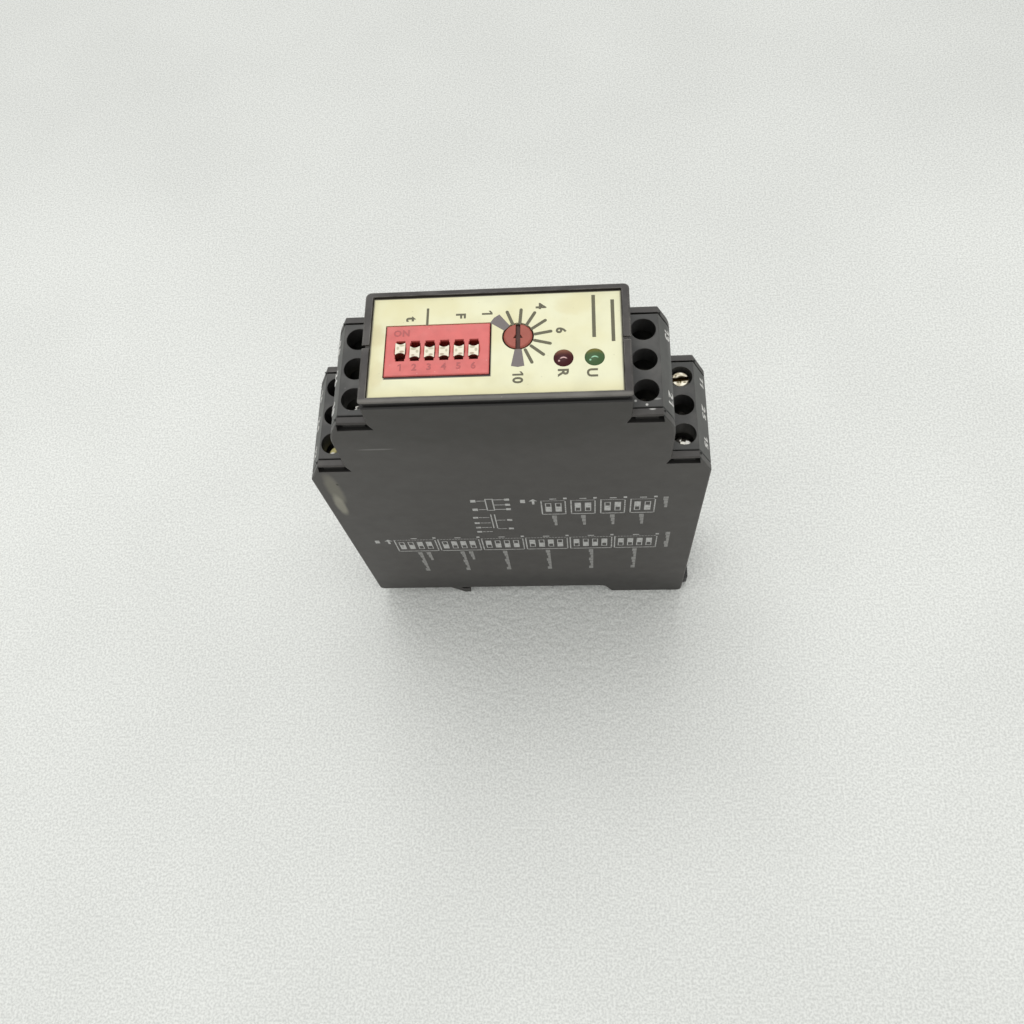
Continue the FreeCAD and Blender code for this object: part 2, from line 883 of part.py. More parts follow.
def terminal_block(level, inner, flat, end, top, bevel, bottom, axis, window_start):
    """A block with screw wells, flared wire entries, chambers for the contacts, and side latches."""
    body = section(
        [(inner, bottom), (end, bottom), (end, top - bevel), (flat, top), (inner, top)],
        block_half * 2,
    )
    if level == "upper":
        rounded(body, s.upper_round, lambda e: runs_across(e) and lies_at(2, (top - bevel).value)(e))
    face = block_half.value
    bevelled(body, s.block_edge, lambda e: lies_at(1, face)(e) or lies_at(1, -face)(e))
    tools = []
    ceiling, floor = top - s.chamber_ceiling, top - s.chamber_floor
    ledge = top - s.bar_top - s.bar_thick
    low, high = top - s.entry_low, top - s.entry_high
    for _, y in terminal_rows():
        w = s.chamber_half_width
        tools.append(post(well_radius, axis, y, ceiling, top + s.past))
        tools.append(box(inner - s.past, axis + s.chamber_reach, y - w, y + w, ledge, ceiling))
        tools.append(box(inner - s.past, axis + s.chamber_low_reach, y - w, y + w, floor, ledge))
        w = s.entry_half_width
        tools.append(box(axis, end + s.past, y - w, y + w, low, high))
        flare = s.funnel_flare
        funnel = doc.addObject("Part::Wedge", "Funnel")
        for name, value in {
            "Xmin": -w, "Xmax": w, "Zmin": low, "Zmax": high, "Ymin": 0, "Ymax": s.funnel_depth,
            "X2min": -w - flare, "X2max": w + flare, "Z2min": low - flare, "Z2max": high + flare,
        }.items():
            bind(funnel, name, value)
        funnel.Placement.Rotation = FreeCAD.Rotation(FreeCAD.Vector(0, 0, 1), -90)
        place(funnel, end - s.funnel_depth, y, 0)
        tools.append(funnel)
    block = cut(body, *tools)
    window_top = top - s.window_bridge
    window_low = window_top - s.window_height
    start = window_start + (flat - window_start - s.latch_length) / 2
    side, out = block_half, block_half + s.latch_out
    latch_top = window_low + s.latch_height
    latches = [
        box(start, start + s.latch_length, y0, y1, window_low, latch_top)
        for y0, y1 in ((side, out), (-out, -side))
    ]
    right = node(f"terminal_block_{level}_right", fuse(block, *latches))
    node(f"terminal_block_{level}_left", mirrored(right))


def contact_bar(row, y, inner, top, axis):
    """A tapped bar that the wire is pressed on, with a leg and a solder tail to the main board."""
    bar_top = top - s.bar_top
    bar_low = bar_top - s.bar_thick
    start = inner + s.bar_start
    w = s.bar_half_width
    bar = box(start, axis + s.bar_reach, y - w, y + w, bar_low, bar_top)
    leg = box(start, start + s.bar_leg, y - w, y + w, top - s.chamber_floor, bar_low)
    hole = post(thread_radius, axis, y, bar_low - s.past, bar_top + s.past)
    tail_high = bar_top - s.tail_drop
    tail_low = tail_high - s.tail_thick
    tail_x = inner - (s.tail_far if row == "far" else s.tail_middle)
    w = s.tail_half_width
    board_far = s.board_near + s.board_thick
    if row == "near":
        tail = [box(tail_x, start, s.board_near - w * 2, s.board_near, tail_low, tail_high)]
    else:
        tail = [
            box(tail_x, start, y - w, y + w, tail_low, tail_high),
            box(tail_x, tail_x + s.tail_thick, board_far, y + w, tail_low, tail_high),
        ]
    return cut(fuse(bar, leg, *tail), hole)


def screw(x, y, top, slot_angle):
    """A slotted screw: a bevelled head that bears on the clamp plate, and a shank."""
    head_top = top - s.screw_head_depth
    head_low = head_top - s.screw_head_height
    end = top - s.screw_end
    blank = turned(
        [
            (0, end),
            (s.screw_shank_radius, end),
            (s.screw_shank_radius, head_low),
            (s.screw_head_radius, head_low),
            (s.screw_head_radius, head_top - s.screw_head_bevel),
            (s.screw_head_radius - s.screw_head_bevel, head_top),
            (0, head_top),
        ],
        x,
        y,
    )
    slot = doc.addObject("Part::Box", "Slot")
    bind(slot, "Length", s.screw_head_radius * 4)
    bind(slot, "Width", s.screw_slot_half_width * 2)
    bind(slot, "Height", s.screw_slot_depth + s.past)
    turn = FreeCAD.Rotation(FreeCAD.Vector(0, 0, 1), slot_angle)
    along = turn.multVec(FreeCAD.Vector(1, 0, 0))
    across = turn.multVec(FreeCAD.Vector(0, 1, 0))
    reach, w = s.screw_head_radius * 2, s.screw_slot_half_width
    slot.Placement.Rotation = turn
    place(
        slot,
        x - reach * along.x - w * across.x,
        y - reach * along.y - w * across.y,
        head_top - s.screw_slot_depth,
    )
    return cut(blank, slot)


def clamp_plate(x, y, top):
    """The plate that a screw carries down on the wire."""
    high = top - s.plate_top_depth
    low = high - s.clamp_thick
    reach, w = s.clamp_half_length, s.clamp_half_width
    plate = box(x - reach, x + reach, y - w, y + w, low, high)
    return cut(plate, post(thread_radius, x, y, low - s.past, high + s.past))


SLOT_ANGLES = {
    "upper_left": (35, 80, 140),
    "upper_right": (160, 15, 65),
    "lower_left": (100, 50, 20),
    "lower_right": (4, 120, 75),
}

# How far the screws that are not tight have been turned out
TURNED_OUT = {
    "lower_right_far": s.backed_out,
    "lower_right_near": s.half_turned_right,
    "lower_left_near": s.half_turned_left,
    "upper_left_near": s.loosened,
}


def terminals():
    """All four blocks and everything in their chambers."""
    terminal_block(
        "upper", s.upper_inner, s.upper_flat, s.upper_end, upper_top, s.upper_bevel,
        lower_top, s.upper_axis, s.step_in,
    )
    terminal_block(
        "lower", s.lower_inner, s.lower_flat, s.half_length, lower_top, s.lower_bevel,
        lower_bottom, s.lower_axis, s.upper_end,
    )
    for level, inner, top, axis in (
        ("upper", s.upper_inner, upper_top, s.upper_axis),
        ("lower", s.lower_inner, lower_top, s.lower_axis),
    ):
        bars = doc.addObject("Part::Compound", "Bars")
        bars.Links = [contact_bar(row, y, inner, top, axis) for row, y in terminal_rows()]
        node(f"contact_bars_{level}_right", bars)
        node(f"contact_bars_{level}_left", mirrored(bars))
        for side, x in (("left", -axis), ("right", axis)):
            for (row, y), angle in zip(terminal_rows(), SLOT_ANGLES[f"{level}_{side}"]):
                place_name = f"{level}_{side}_{row}"
                height = top + TURNED_OUT.get(place_name, 0)
                node(f"terminal_screw_{place_name}", screw(x, y, height, angle))
                node(f"clamp_plate_{place_name}", clamp_plate(x, y, height))


# Circuit boards and the sealed pieces on them


def boards():
    """The upright main board and the small board behind the front."""
    near, far = s.board_near, s.board_near + s.board_thick
    board_low = front_board_top - s.board_thick
    w, n = s.board_low_half, s.board_high_half
    step = lower_top - s.board_step_drop
    low = box(-w, w, near, far, s.floor_top, step)
    high = box(-n, n, near, far, step, board_low)
    node("main_circuit_board", fuse(low, high))
    end, side = hollow_end - s.front_board_gap, hollow_side - s.front_board_gap
    node("front_circuit_board", bevelled_slab(-end, end, -side, side, board_low, front_board_top))


def case(x0, x1, tall, z0, z1):
    """A closed case that stands on the main board."""
    base = s.board_near + s.board_thick
    return bevelled_slab(x0, x1, base, base + tall, z0, z1)


def sealed_pieces():
    """Relays, capacitors and the chip, each one closed solid."""
    reach = s.relay_half_length
    for label, z in (("output_relay_lower", s.relay_low_z), ("output_relay_upper", s.relay_high_z)):
        node(label, case(-reach, reach, s.relay_tall, z, z + s.relay_width))
    node("film_capacitor", case(s.film_left, s.film_right, s.film_tall, s.film_low, s.film_high))
    reach = s.chip_half_length
    node("timer_chip", case(-reach, reach, s.chip_tall, s.chip_low, s.chip_high))
    base = s.board_near + s.board_thick
    edge = base + s.smooth_tall - s.smooth_edge
    can = lying(s.smooth_radius, s.smooth_x, s.smooth_z, base, edge)
    rim = lying(s.smooth_radius - s.smooth_edge, s.smooth_x, s.smooth_z, edge, edge + s.smooth_edge)
    node("smoothing_capacitor", fuse(can, rim))


housing()
rail_clip()
clip_spring()
front_cap()
legend_plate()
dip_switch()
time_knob()
potentiometer()
lamp("red_lamp", s.red_lamp_x)
lamp("green_lamp", s.green_lamp_x)
terminals()
boards()
sealed_pieces()
doc.recompute()

# Checks and export

for obj in doc.Objects:
    if "Invalid" in obj.State or "Error" in obj.State:
        raise RuntimeError(f"{obj.Label} ({obj.Name}) is {obj.State}")

os.makedirs("parts", exist_ok=True)
to_middle = FreeCAD.Vector(-s.clip_out.value / 2, 0, 0)
for obj in nodes:
    shape = obj.Shape.copy()
    if shape.isNull() or not shape.isValid():
        raise RuntimeError(f"{obj.Label} has no valid shape")
    shape.translate(to_middle)
    shape.exportStep(f"parts/{obj.Label}.step")
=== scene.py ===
"""Looks of a slim rail-mounted timer relay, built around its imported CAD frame.

Sizes are in millimetres. Along the length they count from the middle of the housing, across the width
from the middle, and upwards from the base. They become metres where a mesh or a node is made.
"""

import logging
import math
from dataclasses import dataclass
from dataclasses import field
from enum import Enum
from typing import Iterable
from typing import Sequence
from typing import Union

import bmesh
import bpy
from mathutils import Matrix
from mathutils import Quaternion
from mathutils import Vector


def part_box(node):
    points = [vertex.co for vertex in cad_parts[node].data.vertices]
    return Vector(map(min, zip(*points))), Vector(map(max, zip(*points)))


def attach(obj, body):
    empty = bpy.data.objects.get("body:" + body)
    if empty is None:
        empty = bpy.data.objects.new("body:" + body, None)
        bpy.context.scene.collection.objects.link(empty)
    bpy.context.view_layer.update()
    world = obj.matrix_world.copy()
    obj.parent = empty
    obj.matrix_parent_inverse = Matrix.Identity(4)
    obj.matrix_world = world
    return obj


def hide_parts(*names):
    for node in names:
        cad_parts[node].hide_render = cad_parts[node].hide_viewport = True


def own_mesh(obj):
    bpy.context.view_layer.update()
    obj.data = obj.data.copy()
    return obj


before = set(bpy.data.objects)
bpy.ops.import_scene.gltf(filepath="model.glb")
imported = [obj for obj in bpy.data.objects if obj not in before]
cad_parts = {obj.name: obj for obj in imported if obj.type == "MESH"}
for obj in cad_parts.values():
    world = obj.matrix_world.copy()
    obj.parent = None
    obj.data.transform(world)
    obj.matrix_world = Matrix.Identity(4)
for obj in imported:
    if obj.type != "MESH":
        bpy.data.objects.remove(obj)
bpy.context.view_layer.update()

LOG = logging.getLogger("timer_relay")

MM = 0.001
MODULE = "module"

HOUSING_LOW, HOUSING_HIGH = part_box("housing_shell")
MIDDLE_X = (HOUSING_LOW.x + HOUSING_HIGH.x) / 2

ALONG = Vector((1.0, 0.0, 0.0))
ACROSS = Vector((0.0, 1.0, 0.0))
UPWARDS = Vector((0.0, 0.0, 1.0))

Point = tuple[float, float]
Place = tuple[float, float, float]
Colour = tuple[float, float, float, float]
Feed = Union[float, Sequence[float], bpy.types.NodeSocket]


# Colours and places


def linear(share: float) -> float:
    """Linear light of one screen channel.

    Args:
        share: The channel's share of full, from 0 to 1.

    Returns:
        The linear share of light.
    """
    toe_end = 0.04045
    toe_slope = 12.92
    offset = 0.055
    power = 2.4
    if share <= toe_end:
        return share / toe_slope
    return ((share + offset) / (1.0 + offset)) ** power


def tint(red: int, green: int, blue: int) -> Colour:
    """Linear colour of a screen colour.

    Args:
        red: Screen red, from 0 to 255.
        green: Screen green, from 0 to 255.
        blue: Screen blue, from 0 to 255.

    Returns:
        The colour as nodes take it, with full alpha.
    """
    full = 255.0
    return (linear(red / full), linear(green / full), linear(blue / full), 1.0)


def spot(x: float, y: float, z: float) -> Place:
    """A point of the part, in metres of the frame.

    Args:
        x: Along the length from the housing's middle, in millimetres.
        y: Across the width from the middle, in millimetres.
        z: Up from the base, in millimetres.

    Returns:
        The point in the frame.
    """
    return (MIDDLE_X + x * MM, y * MM, z * MM)


def middle_of(node: str) -> Vector:
    """The middle of a node's upper face, in the frame."""
    low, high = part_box(node)
    return Vector(((low.x + high.x) / 2, (low.y + high.y) / 2, high.z))


BLACK = tint(0, 0, 0)
WHITE = tint(255, 255, 255)


# Node work

COARSE_OCTAVES = 2.0
FINE_OCTAVES = 3.0
RAGGED_OCTAVES = 4.0
NOISE_MIDDLE = 0.5
NOWHERE = (0.0, 0.0, 0.0)


class Graph:
    """A node tree under construction, with short ways to add nodes and join them."""

    def __init__(self, tree: bpy.types.NodeTree) -> None:
        """Keeps the tree to work on."""
        self.tree = tree

    def add(self, kind: str, **settings: object) -> bpy.types.Node:
        """Adds one node.

        Args:
            kind: Blender's name of the node's type.
            **settings: Values of the node's own properties.

        Returns:
            The new node.
        """
        node = self.tree.nodes.new(kind)
        for name, value in settings.items():
            setattr(node, name, value)
        return node

    def feed(self, socket: bpy.types.NodeSocket, value: Feed) -> None:
        """Gives a socket a link or a plain value.

        Args:
            socket: The input to fill.
            value: Another node's output, a number or a few numbers.
        """
        if isinstance(value, bpy.types.NodeSocket):
            self.tree.links.new(value, socket)
        else:
            socket.default_value = value

    def math(self, operation: str, first: Feed, second: Feed = 0.0) -> bpy.types.NodeSocket:
        """Adds a Math node.

        Args:
            operation: The node's operation.
            first: Its first input.
            second: Its second input.

        Returns:
            The result.
        """
        node = self.add("ShaderNodeMath", operation=operation)
        self.feed(node.inputs[0], first)
        self.feed(node.inputs[1], second)
        return node.outputs[0]

    def vector(self, operation: str, first: Feed, second: Feed) -> bpy.types.Node:
        """Adds a Vector Math node.

        Args:
            operation: The node's operation.
            first: Its first vector.
            second: Its second vector.

        Returns:
            The node, whose outputs are a vector and a value.
        """
        node = self.add("ShaderNodeVectorMath", operation=operation)
        self.feed(node.inputs[0], first)
        self.feed(node.inputs[1], second)
        return node

    def ramp(
        self, value: Feed, low: Feed, high: Feed, start: Feed = 0.0, end: Feed = 1.0
    ) -> bpy.types.NodeSocket:
        """Adds a smooth Map Range node.

        Args:
            value: What is mapped.
            low: The value that gives start.
            high: The value that gives end.
            start: The result at low and below.
            end: The result at high and above.

        Returns:
            The mapped value.
        """
        node = self.add("ShaderNodeMapRange", interpolation_type="SMOOTHSTEP")
        for name, given in (
            ("Value", value),
            ("From Min", low),
            ("From Max", high),
            ("To Min", start),
            ("To Max", end),
        ):
            self.feed(node.inputs[name], given)
        return node.outputs[0]

    def mix(self, factor: Feed, first: Feed, second: Feed, blend: str = "MIX") -> bpy.types.NodeSocket:
        """Adds a Mix node for colours.

        Args:
            factor: Share of the second colour.
            first: The first colour.
            second: The second colour.
            blend: The node's blend type.

        Returns:
            The mixed colour.
        """
        node = self.add("ShaderNodeMix", data_type="RGBA", blend_type=blend)
        colours = [socket for socket in node.inputs if socket.type == "RGBA"]
        self.feed(node.inputs[0], factor)
        self.feed(colours[0], first)
        self.feed(colours[1], second)
        return [socket for socket in node.outputs if socket.type == "RGBA"][0]

    def noise(self, place: Feed, scale: Feed, detail: float = COARSE_OCTAVES) -> bpy.types.NodeSocket:
        """Adds a Noise Texture node.

        Args:
            place: The coordinates.
            scale: Waves in a metre.
            detail: Octaves.

        Returns:
            The noise, from 0 to 1.
        """
        node = self.add("ShaderNodeTexNoise")
        self.feed(node.inputs["Vector"], place)
        self.feed(node.inputs["Scale"], scale)
        self.feed(node.inputs["Detail"], detail)
        return node.outputs[0]

    def cells(self, place: Feed, scale: Feed) -> bpy.types.NodeSocket:
        """Adds a Voronoi Texture node.

        Args:
            place: The coordinates.
            scale: Cells in a metre.

        Returns:
            The distance to the nearest cell's point.
        """
        node = self.add("ShaderNodeTexVoronoi")
        self.feed(node.inputs["Vector"], place)
        self.feed(node.inputs["Scale"], scale)
        return node.outputs["Distance"]

    def object_place(self) -> bpy.types.NodeSocket:
        """The point of the surface in the object's own coordinates."""
        return self.add("ShaderNodeTexCoord").outputs["Object"]

    def folded_place(self) -> bpy.types.NodeSocket:
        """The point of the surface, with all four quarters of the module folded on one.

        Returns:
            Its distances from the middle along and across, and its height.
        """
        middle = (MIDDLE_X, 0.0, 0.0)
        away = self.vector("SUBTRACT", self.object_place(), middle).outputs[0]
        across = self.parts(away)
        node = self.add("ShaderNodeCombineXYZ")
        self.feed(node.inputs[0], self.math("ABSOLUTE", across[0]))
        self.feed(node.inputs[1], self.math("ABSOLUTE", across[1]))
        self.feed(node.inputs[2], across[2])
        return node.outputs[0]

    def parts(self, value: Feed) -> bpy.types.NodeOutputs:
        """Adds a Separate XYZ node.

        Args:
            value: The vector.

        Returns:
            Its X, Y and Z.
        """
        node = self.add("ShaderNodeSeparateXYZ")
        self.feed(node.inputs[0], value)
        return node.outputs

    def place_group(self, tree: bpy.types.NodeTree, **values: Feed) -> bpy.types.Node:
        """Places a node group.

        Args:
            tree: The group.
            **values: Its inputs, by name, with _ for a space.

        Returns:
            The group's node.
        """
        node = self.add("ShaderNodeGroup", node_tree=tree)
        for name, value in values.items():
            self.feed(node.inputs[name.replace("_", " ")], value)
        return node

    def bumped(self, height: Feed, depth: float, normal: Feed) -> bpy.types.NodeSocket:
        """Adds a Bump node.

        Args:
            height: The height, from 0 to 1.
            depth: What a height of 1 means, in metres.
            normal: The normal under the bump.

        Returns:
            The bumped normal.
        """
        node = self.add("ShaderNodeBump")
        self.feed(node.inputs["Strength"], 1.0)
        self.feed(node.inputs["Distance"], depth)
        self.feed(node.inputs["Height"], height)
        self.feed(node.inputs["Normal"], normal)
        return node.outputs[0]


class Kind(Enum):
    """Socket types of a node group."""

    NUMBER = "NodeSocketFloat"
    COLOUR = "NodeSocketColor"
    VECTOR = "NodeSocketVector"


class EffectGroup:
    """A shader node group with named sockets, ready to be wired inside."""

    def __init__(self, name: str, inputs: dict[str, Kind], outputs: dict[str, Kind]) -> None:
        """Makes the empty group.

        Args:
            name: The group's name.
            inputs: Its inputs and their types.
            outputs: Its outputs and their types.
        """
        self.tree = bpy.data.node_groups.new(name, "ShaderNodeTree")
        for way, sockets in (("INPUT", inputs), ("OUTPUT", outputs)):
            for label, kind in sockets.items():
                self.tree.interface.new_socket(name=label, in_out=way, socket_type=kind.value)
        self.graph = Graph(self.tree)
        self.given = self.graph.add("NodeGroupInput").outputs
        self.result = self.graph.add("NodeGroupOutput").inputs

    def give(self, name: str, value: Feed) -> None:
        """Joins a value to one of the group's outputs."""
        self.graph.feed(self.result[name], value)


class Effects:
    """The surface effects that several finishes share, each one a node group."""

    def __init__(self) -> None:
        """Builds every group once."""
        self.skin = self.moulded_skin()
        self.edges = self.soft_edges()
        self.dust = self.settled_dust()
        self.mark = self.local_mark()
        self.hollow = self.dark_hollow()
        self.patina = self.metal_patina()

    @staticmethod
    def moulded_skin() -> bpy.types.NodeTree:
        """The skin of a moulding: fine grain, uneven shine and slow changes of colour.

        Returns:
            The group.
        """
        group = EffectGroup(
            "Moulded skin",
            {
                "Colour": Kind.COLOUR,
                "Mottle": Kind.NUMBER,
                "Roughness": Kind.NUMBER,
                "Grain": Kind.NUMBER,
            },
            {"Colour": Kind.COLOUR, "Roughness": Kind.NUMBER, "Height": Kind.NUMBER},
        )
        patch_scale = 110.0
        streak_scale = 620.0
        shine_scale = 260.0
        shine_swing = 0.16
        graph = group.graph
        place = graph.object_place()
        patches = graph.noise(place, patch_scale, FINE_OCTAVES)
        streaks = graph.noise(place, streak_scale)
        both = graph.math("ADD", patches, streaks)
        even = graph.math("SUBTRACT", both, 2 * NOISE_MIDDLE)
        swing = graph.math("MULTIPLY", even, group.given["Mottle"])
        shade = graph.math("ADD", swing, 1.0)
        group.give("Colour", graph.vector("MULTIPLY", group.given["Colour"], shade).outputs[0])
        shine = graph.math("SUBTRACT", graph.noise(place, shine_scale, FINE_OCTAVES), NOISE_MIDDLE)
        swing = graph.math("MULTIPLY", shine, shine_swing)
        group.give("Roughness", graph.math("ADD", swing, group.given["Roughness"]))
        group.give("Height", graph.noise(place, group.given["Grain"], FINE_OCTAVES))
        return group.tree

    @staticmethod
    def soft_edges() -> bpy.types.NodeTree:
        """Rounded edges recoloured in patches: rubbed wear on most finishes, a painted highlight on the
        cap's edges and painted shade on the knob's.

        Returns:
            The group.
        """
        group = EffectGroup(
            "Soft edges",
            {
                "Colour": Kind.COLOUR,
                "Rubbed": Kind.COLOUR,
                "Radius": Kind.NUMBER,
                "Amount": Kind.NUMBER,
            },
            {"Colour": Kind.COLOUR, "Normal": Kind.VECTOR, "Mask": Kind.NUMBER},
        )
        rub_scale = 240.0
        edge_start = 0.992
        edge_full = 0.87
        untouched, rubbed = 0.34, 0.62
        bevel_samples = 6
        graph = group.graph
        bevel = graph.add("ShaderNodeBevel", samples=bevel_samples)
        graph.feed(bevel.inputs["Radius"], group.given["Radius"])
        flat = graph.add("ShaderNodeNewGeometry").outputs["Normal"]
        likeness = graph.vector("DOT_PRODUCT", bevel.outputs[0], flat).outputs[1]
        edge = graph.ramp(likeness, edge_full, edge_start, 1.0, 0.0)
        patches = graph.noise(graph.object_place(), rub_scale, RAGGED_OCTAVES)
        patchy = graph.ramp(patches, untouched, rubbed)
        mask = graph.math("MULTIPLY", graph.math("MULTIPLY", edge, patchy), group.given["Amount"])
        group.give("Mask", mask)
        group.give("Colour", graph.mix(mask, group.given["Colour"], group.given["Rubbed"]))
        group.give("Normal", bevel.outputs[0])
        return group.tree

    @staticmethod
    def settled_dust() -> bpy.types.NodeTree:
        """A thin film and single specks of dust on what faces up.

        Returns:
            The group.
        """
        group = EffectGroup(
            "Settled dust",
            {"Colour": Kind.COLOUR, "Dust": Kind.COLOUR, "Amount": Kind.NUMBER},
            {"Colour": Kind.COLOUR, "Mask": Kind.NUMBER},
        )
        film_scale = 190.0
        speck_scale = 520.0
        speck_size = 0.085
        film_share = 0.45
        clean, filmed = 0.42, 0.75
        steep, level = 0.25, 0.95
        graph = group.graph
        place = graph.object_place()
        facing = graph.parts(graph.add("ShaderNodeNewGeometry").outputs["Normal"])[2]
        upward = graph.ramp(facing, steep, level)
        patches = graph.noise(place, film_scale, RAGGED_OCTAVES)
        film = graph.math("MULTIPLY", graph.ramp(patches, clean, filmed), film_share)
        specks = graph.ramp(graph.cells(place, speck_scale), speck_size, speck_size / 2)
        both = graph.math("MAXIMUM", film, specks)
        mask = graph.math("MULTIPLY", graph.math("MULTIPLY", both, upward), group.given["Amount"])
        group.give("Mask", mask)
        group.give("Colour", graph.mix(mask, group.given["Colour"], group.given["Dust"]))
        return group.tree

    @staticmethod
    def local_mark() -> bpy.types.NodeTree:
        """One mark of wear, soiling, painted shade or painted highlight: a ragged oval round a place.

        Returns:
            The group.
        """
        group = EffectGroup(
            "Local mark",
            {
                "Colour": Kind.COLOUR,
                "Marked": Kind.COLOUR,
                "Place": Kind.VECTOR,
                "Reach": Kind.VECTOR,
                "Ragged": Kind.NUMBER,
                "Amount": Kind.NUMBER,
            },
            {"Colour": Kind.COLOUR, "Mask": Kind.NUMBER},
        )
        rag_scale = 420.0
        core = 0.45
        graph = group.graph
        place = graph.object_place()
        away = graph.vector("SUBTRACT", place, group.given["Place"]).outputs[0]
        share = graph.vector("DIVIDE", away, group.given["Reach"]).outputs[0]
        distance = graph.vector("LENGTH", share, NOWHERE).outputs[1]
        rag = graph.math("SUBTRACT", graph.noise(place, rag_scale, RAGGED_OCTAVES), NOISE_MIDDLE)
        ragged = graph.math("ADD", distance, graph.math("MULTIPLY", rag, group.given["Ragged"]))
        mask = graph.math("MULTIPLY", graph.ramp(ragged, core, 1.0, 1.0, 0.0), group.given["Amount"])
        group.give("Mask", mask)
        group.give("Colour", graph.mix(mask, group.given["Colour"], group.given["Marked"]))
        return group.tree

    @staticmethod
    def dark_hollow() -> bpy.types.NodeTree:
        """Painted shade inside a sunk place, round or square, from its mouth downwards.

        Returns:
            The group.
        """
        group = EffectGroup(
            "Dark hollow",
            {
                "Colour": Kind.COLOUR,
                "Dark": Kind.COLOUR,
                "Point": Kind.VECTOR,
                "Mouth": Kind.VECTOR,
                "Reach": Kind.VECTOR,
                "Fade": Kind.NUMBER,
                "Square": Kind.NUMBER,
            },
            {"Colour": Kind.COLOUR, "Mask": Kind.NUMBER},
        )
        rim = 0.97
        level = (1.0, 1.0, 0.0)
        graph = group.graph
        away = graph.vector("SUBTRACT", group.given["Point"], group.given["Mouth"]).outputs[0]
        share = graph.vector("DIVIDE", away, group.given["Reach"]).outputs[0]
        flat = graph.vector("MULTIPLY", share, level).outputs[0]
        sides = graph.parts(graph.vector("ABSOLUTE", flat, NOWHERE).outputs[0])
        square = graph.math("MAXIMUM", sides[0], sides[1])
        circle = graph.vector("LENGTH", flat, NOWHERE).outputs[1]
        distance = graph.ramp(group.given["Square"], 0.0, 1.0, circle, square)
        within = graph.ramp(distance, rim, 1.0, 1.0, 0.0)
        depth = graph.math("MULTIPLY", graph.parts(away)[2], -1.0)
        sunk = graph.ramp(depth, 0.0, group.given["Fade"])
        shallow = graph.math("GREATER_THAN", graph.parts(share)[2], -1.0)
        mask = graph.math("MULTIPLY", graph.math("MULTIPLY", within, sunk), shallow)
        group.give("Mask", mask)
        group.give("Colour", graph.mix(mask, group.given["Colour"], group.given["Dark"]))
        return group.tree

    @staticmethod
    def metal_patina() -> bpy.types.NodeTree:
        """Dull patches and fine scratches on plated metal.

        Returns:
            The group.
        """
        group = EffectGroup(
            "Metal patina",
            {
                "Colour": Kind.COLOUR,
                "Dull": Kind.COLOUR,
                "Roughness": Kind.NUMBER,
                "Amount": Kind.NUMBER,
            },
            {"Colour": Kind.COLOUR, "Roughness": Kind.NUMBER, "Height": Kind.NUMBER},
        )
        patch_scale = 900.0
        scratch_scale = 5200.0
        dull_swing = 0.3
        bright, dull = 0.4, 0.68
        stretch = (0.12, 1.0, 1.0)
        graph = group.graph
        place = graph.object_place()
        patches = graph.ramp(graph.noise(place, patch_scale, RAGGED_OCTAVES), bright, dull)
        mask = graph.math("MULTIPLY", patches, group.given["Amount"])
        group.give("Colour", graph.mix(mask, group.given["Colour"], group.given["Dull"]))
        swing = graph.math("MULTIPLY", mask, dull_swing)
        group.give("Roughness", graph.math("ADD", swing, group.given["Roughness"]))
        stretched = graph.vector("MULTIPLY", place, stretch).outputs[0]
        group.give("Height", graph.noise(stretched, scratch_scale))
        return group.tree


EFFECTS = Effects()


# Finishes


def blank_material(name: str) -> tuple[bpy.types.Material, Graph, bpy.types.Node]:
    """A new material with a bare shader.

    Args:
        name: The material's name.

    Returns:
        The material, its graph and its Principled shader.
    """
    material = bpy.data.materials.new(name)
    material.use_nodes = True
    graph = Graph(material.node_tree)
    return material, graph, material.node_tree.nodes["Principled BSDF"]


@dataclass(frozen=True)
class Mark:
    """One mark of wear, soiling, painted shade or a painted highlight."""

    place: Place
    reach: Place
    colour: Colour
    amount: float
    ragged: float = 0.8


@dataclass(frozen=True)
class Hollow:
    """A sunk place whose walls get painted shade, or painted light where its colour is pale. A paired
    one stands for its mirror images too.
    """

    mouth: Place
    reach: Place
    colour: Colour
    fade: float = 0.3
    square: bool = False
    paired: bool = False


def lay_marks(graph: Graph, colour: Feed, marks: Iterable[Mark]) -> tuple[Feed, Feed]:
    """Lays marks of wear, soiling, painted shade or painted highlight over a colour.

    Args:
        graph: The material's graph.
        colour: The colour under them.
        marks: The marks.

    Returns:
        The marked colour, and where the marks are.
    """
    mask = 0.0
    for mark in marks:
        laid = graph.place_group(
            EFFECTS.mark,
            Colour=colour,
            Marked=mark.colour,
            Place=mark.place,
            Reach=[side * MM for side in mark.reach],
            Ragged=mark.ragged,
            Amount=mark.amount,
        )
        colour = laid.outputs["Colour"]
        mask = graph.math("MAXIMUM", mask, laid.outputs["Mask"])
    return colour, mask


def hollowed(graph: Graph, colour: Feed, hollows: Iterable[Hollow]) -> Feed:
    """Paints shade on the insides of sunk places, or light where a place's colour is pale.

    Args:
        graph: The material's graph.
        colour: The colour outside them.
        hollows: The sunk places.

    Returns:
        The darkened colour.
    """
    for hollow in hollows:
        laid = graph.place_group(
            EFFECTS.hollow,
            Colour=colour,
            Dark=hollow.colour,
            Point=graph.folded_place() if hollow.paired else graph.object_place(),
            Mouth=hollow.mouth,
            Reach=[side * MM for side in hollow.reach],
            Fade=hollow.fade * MM,
            Square=float(hollow.square),
        )
        colour = laid.outputs["Colour"]
    return colour


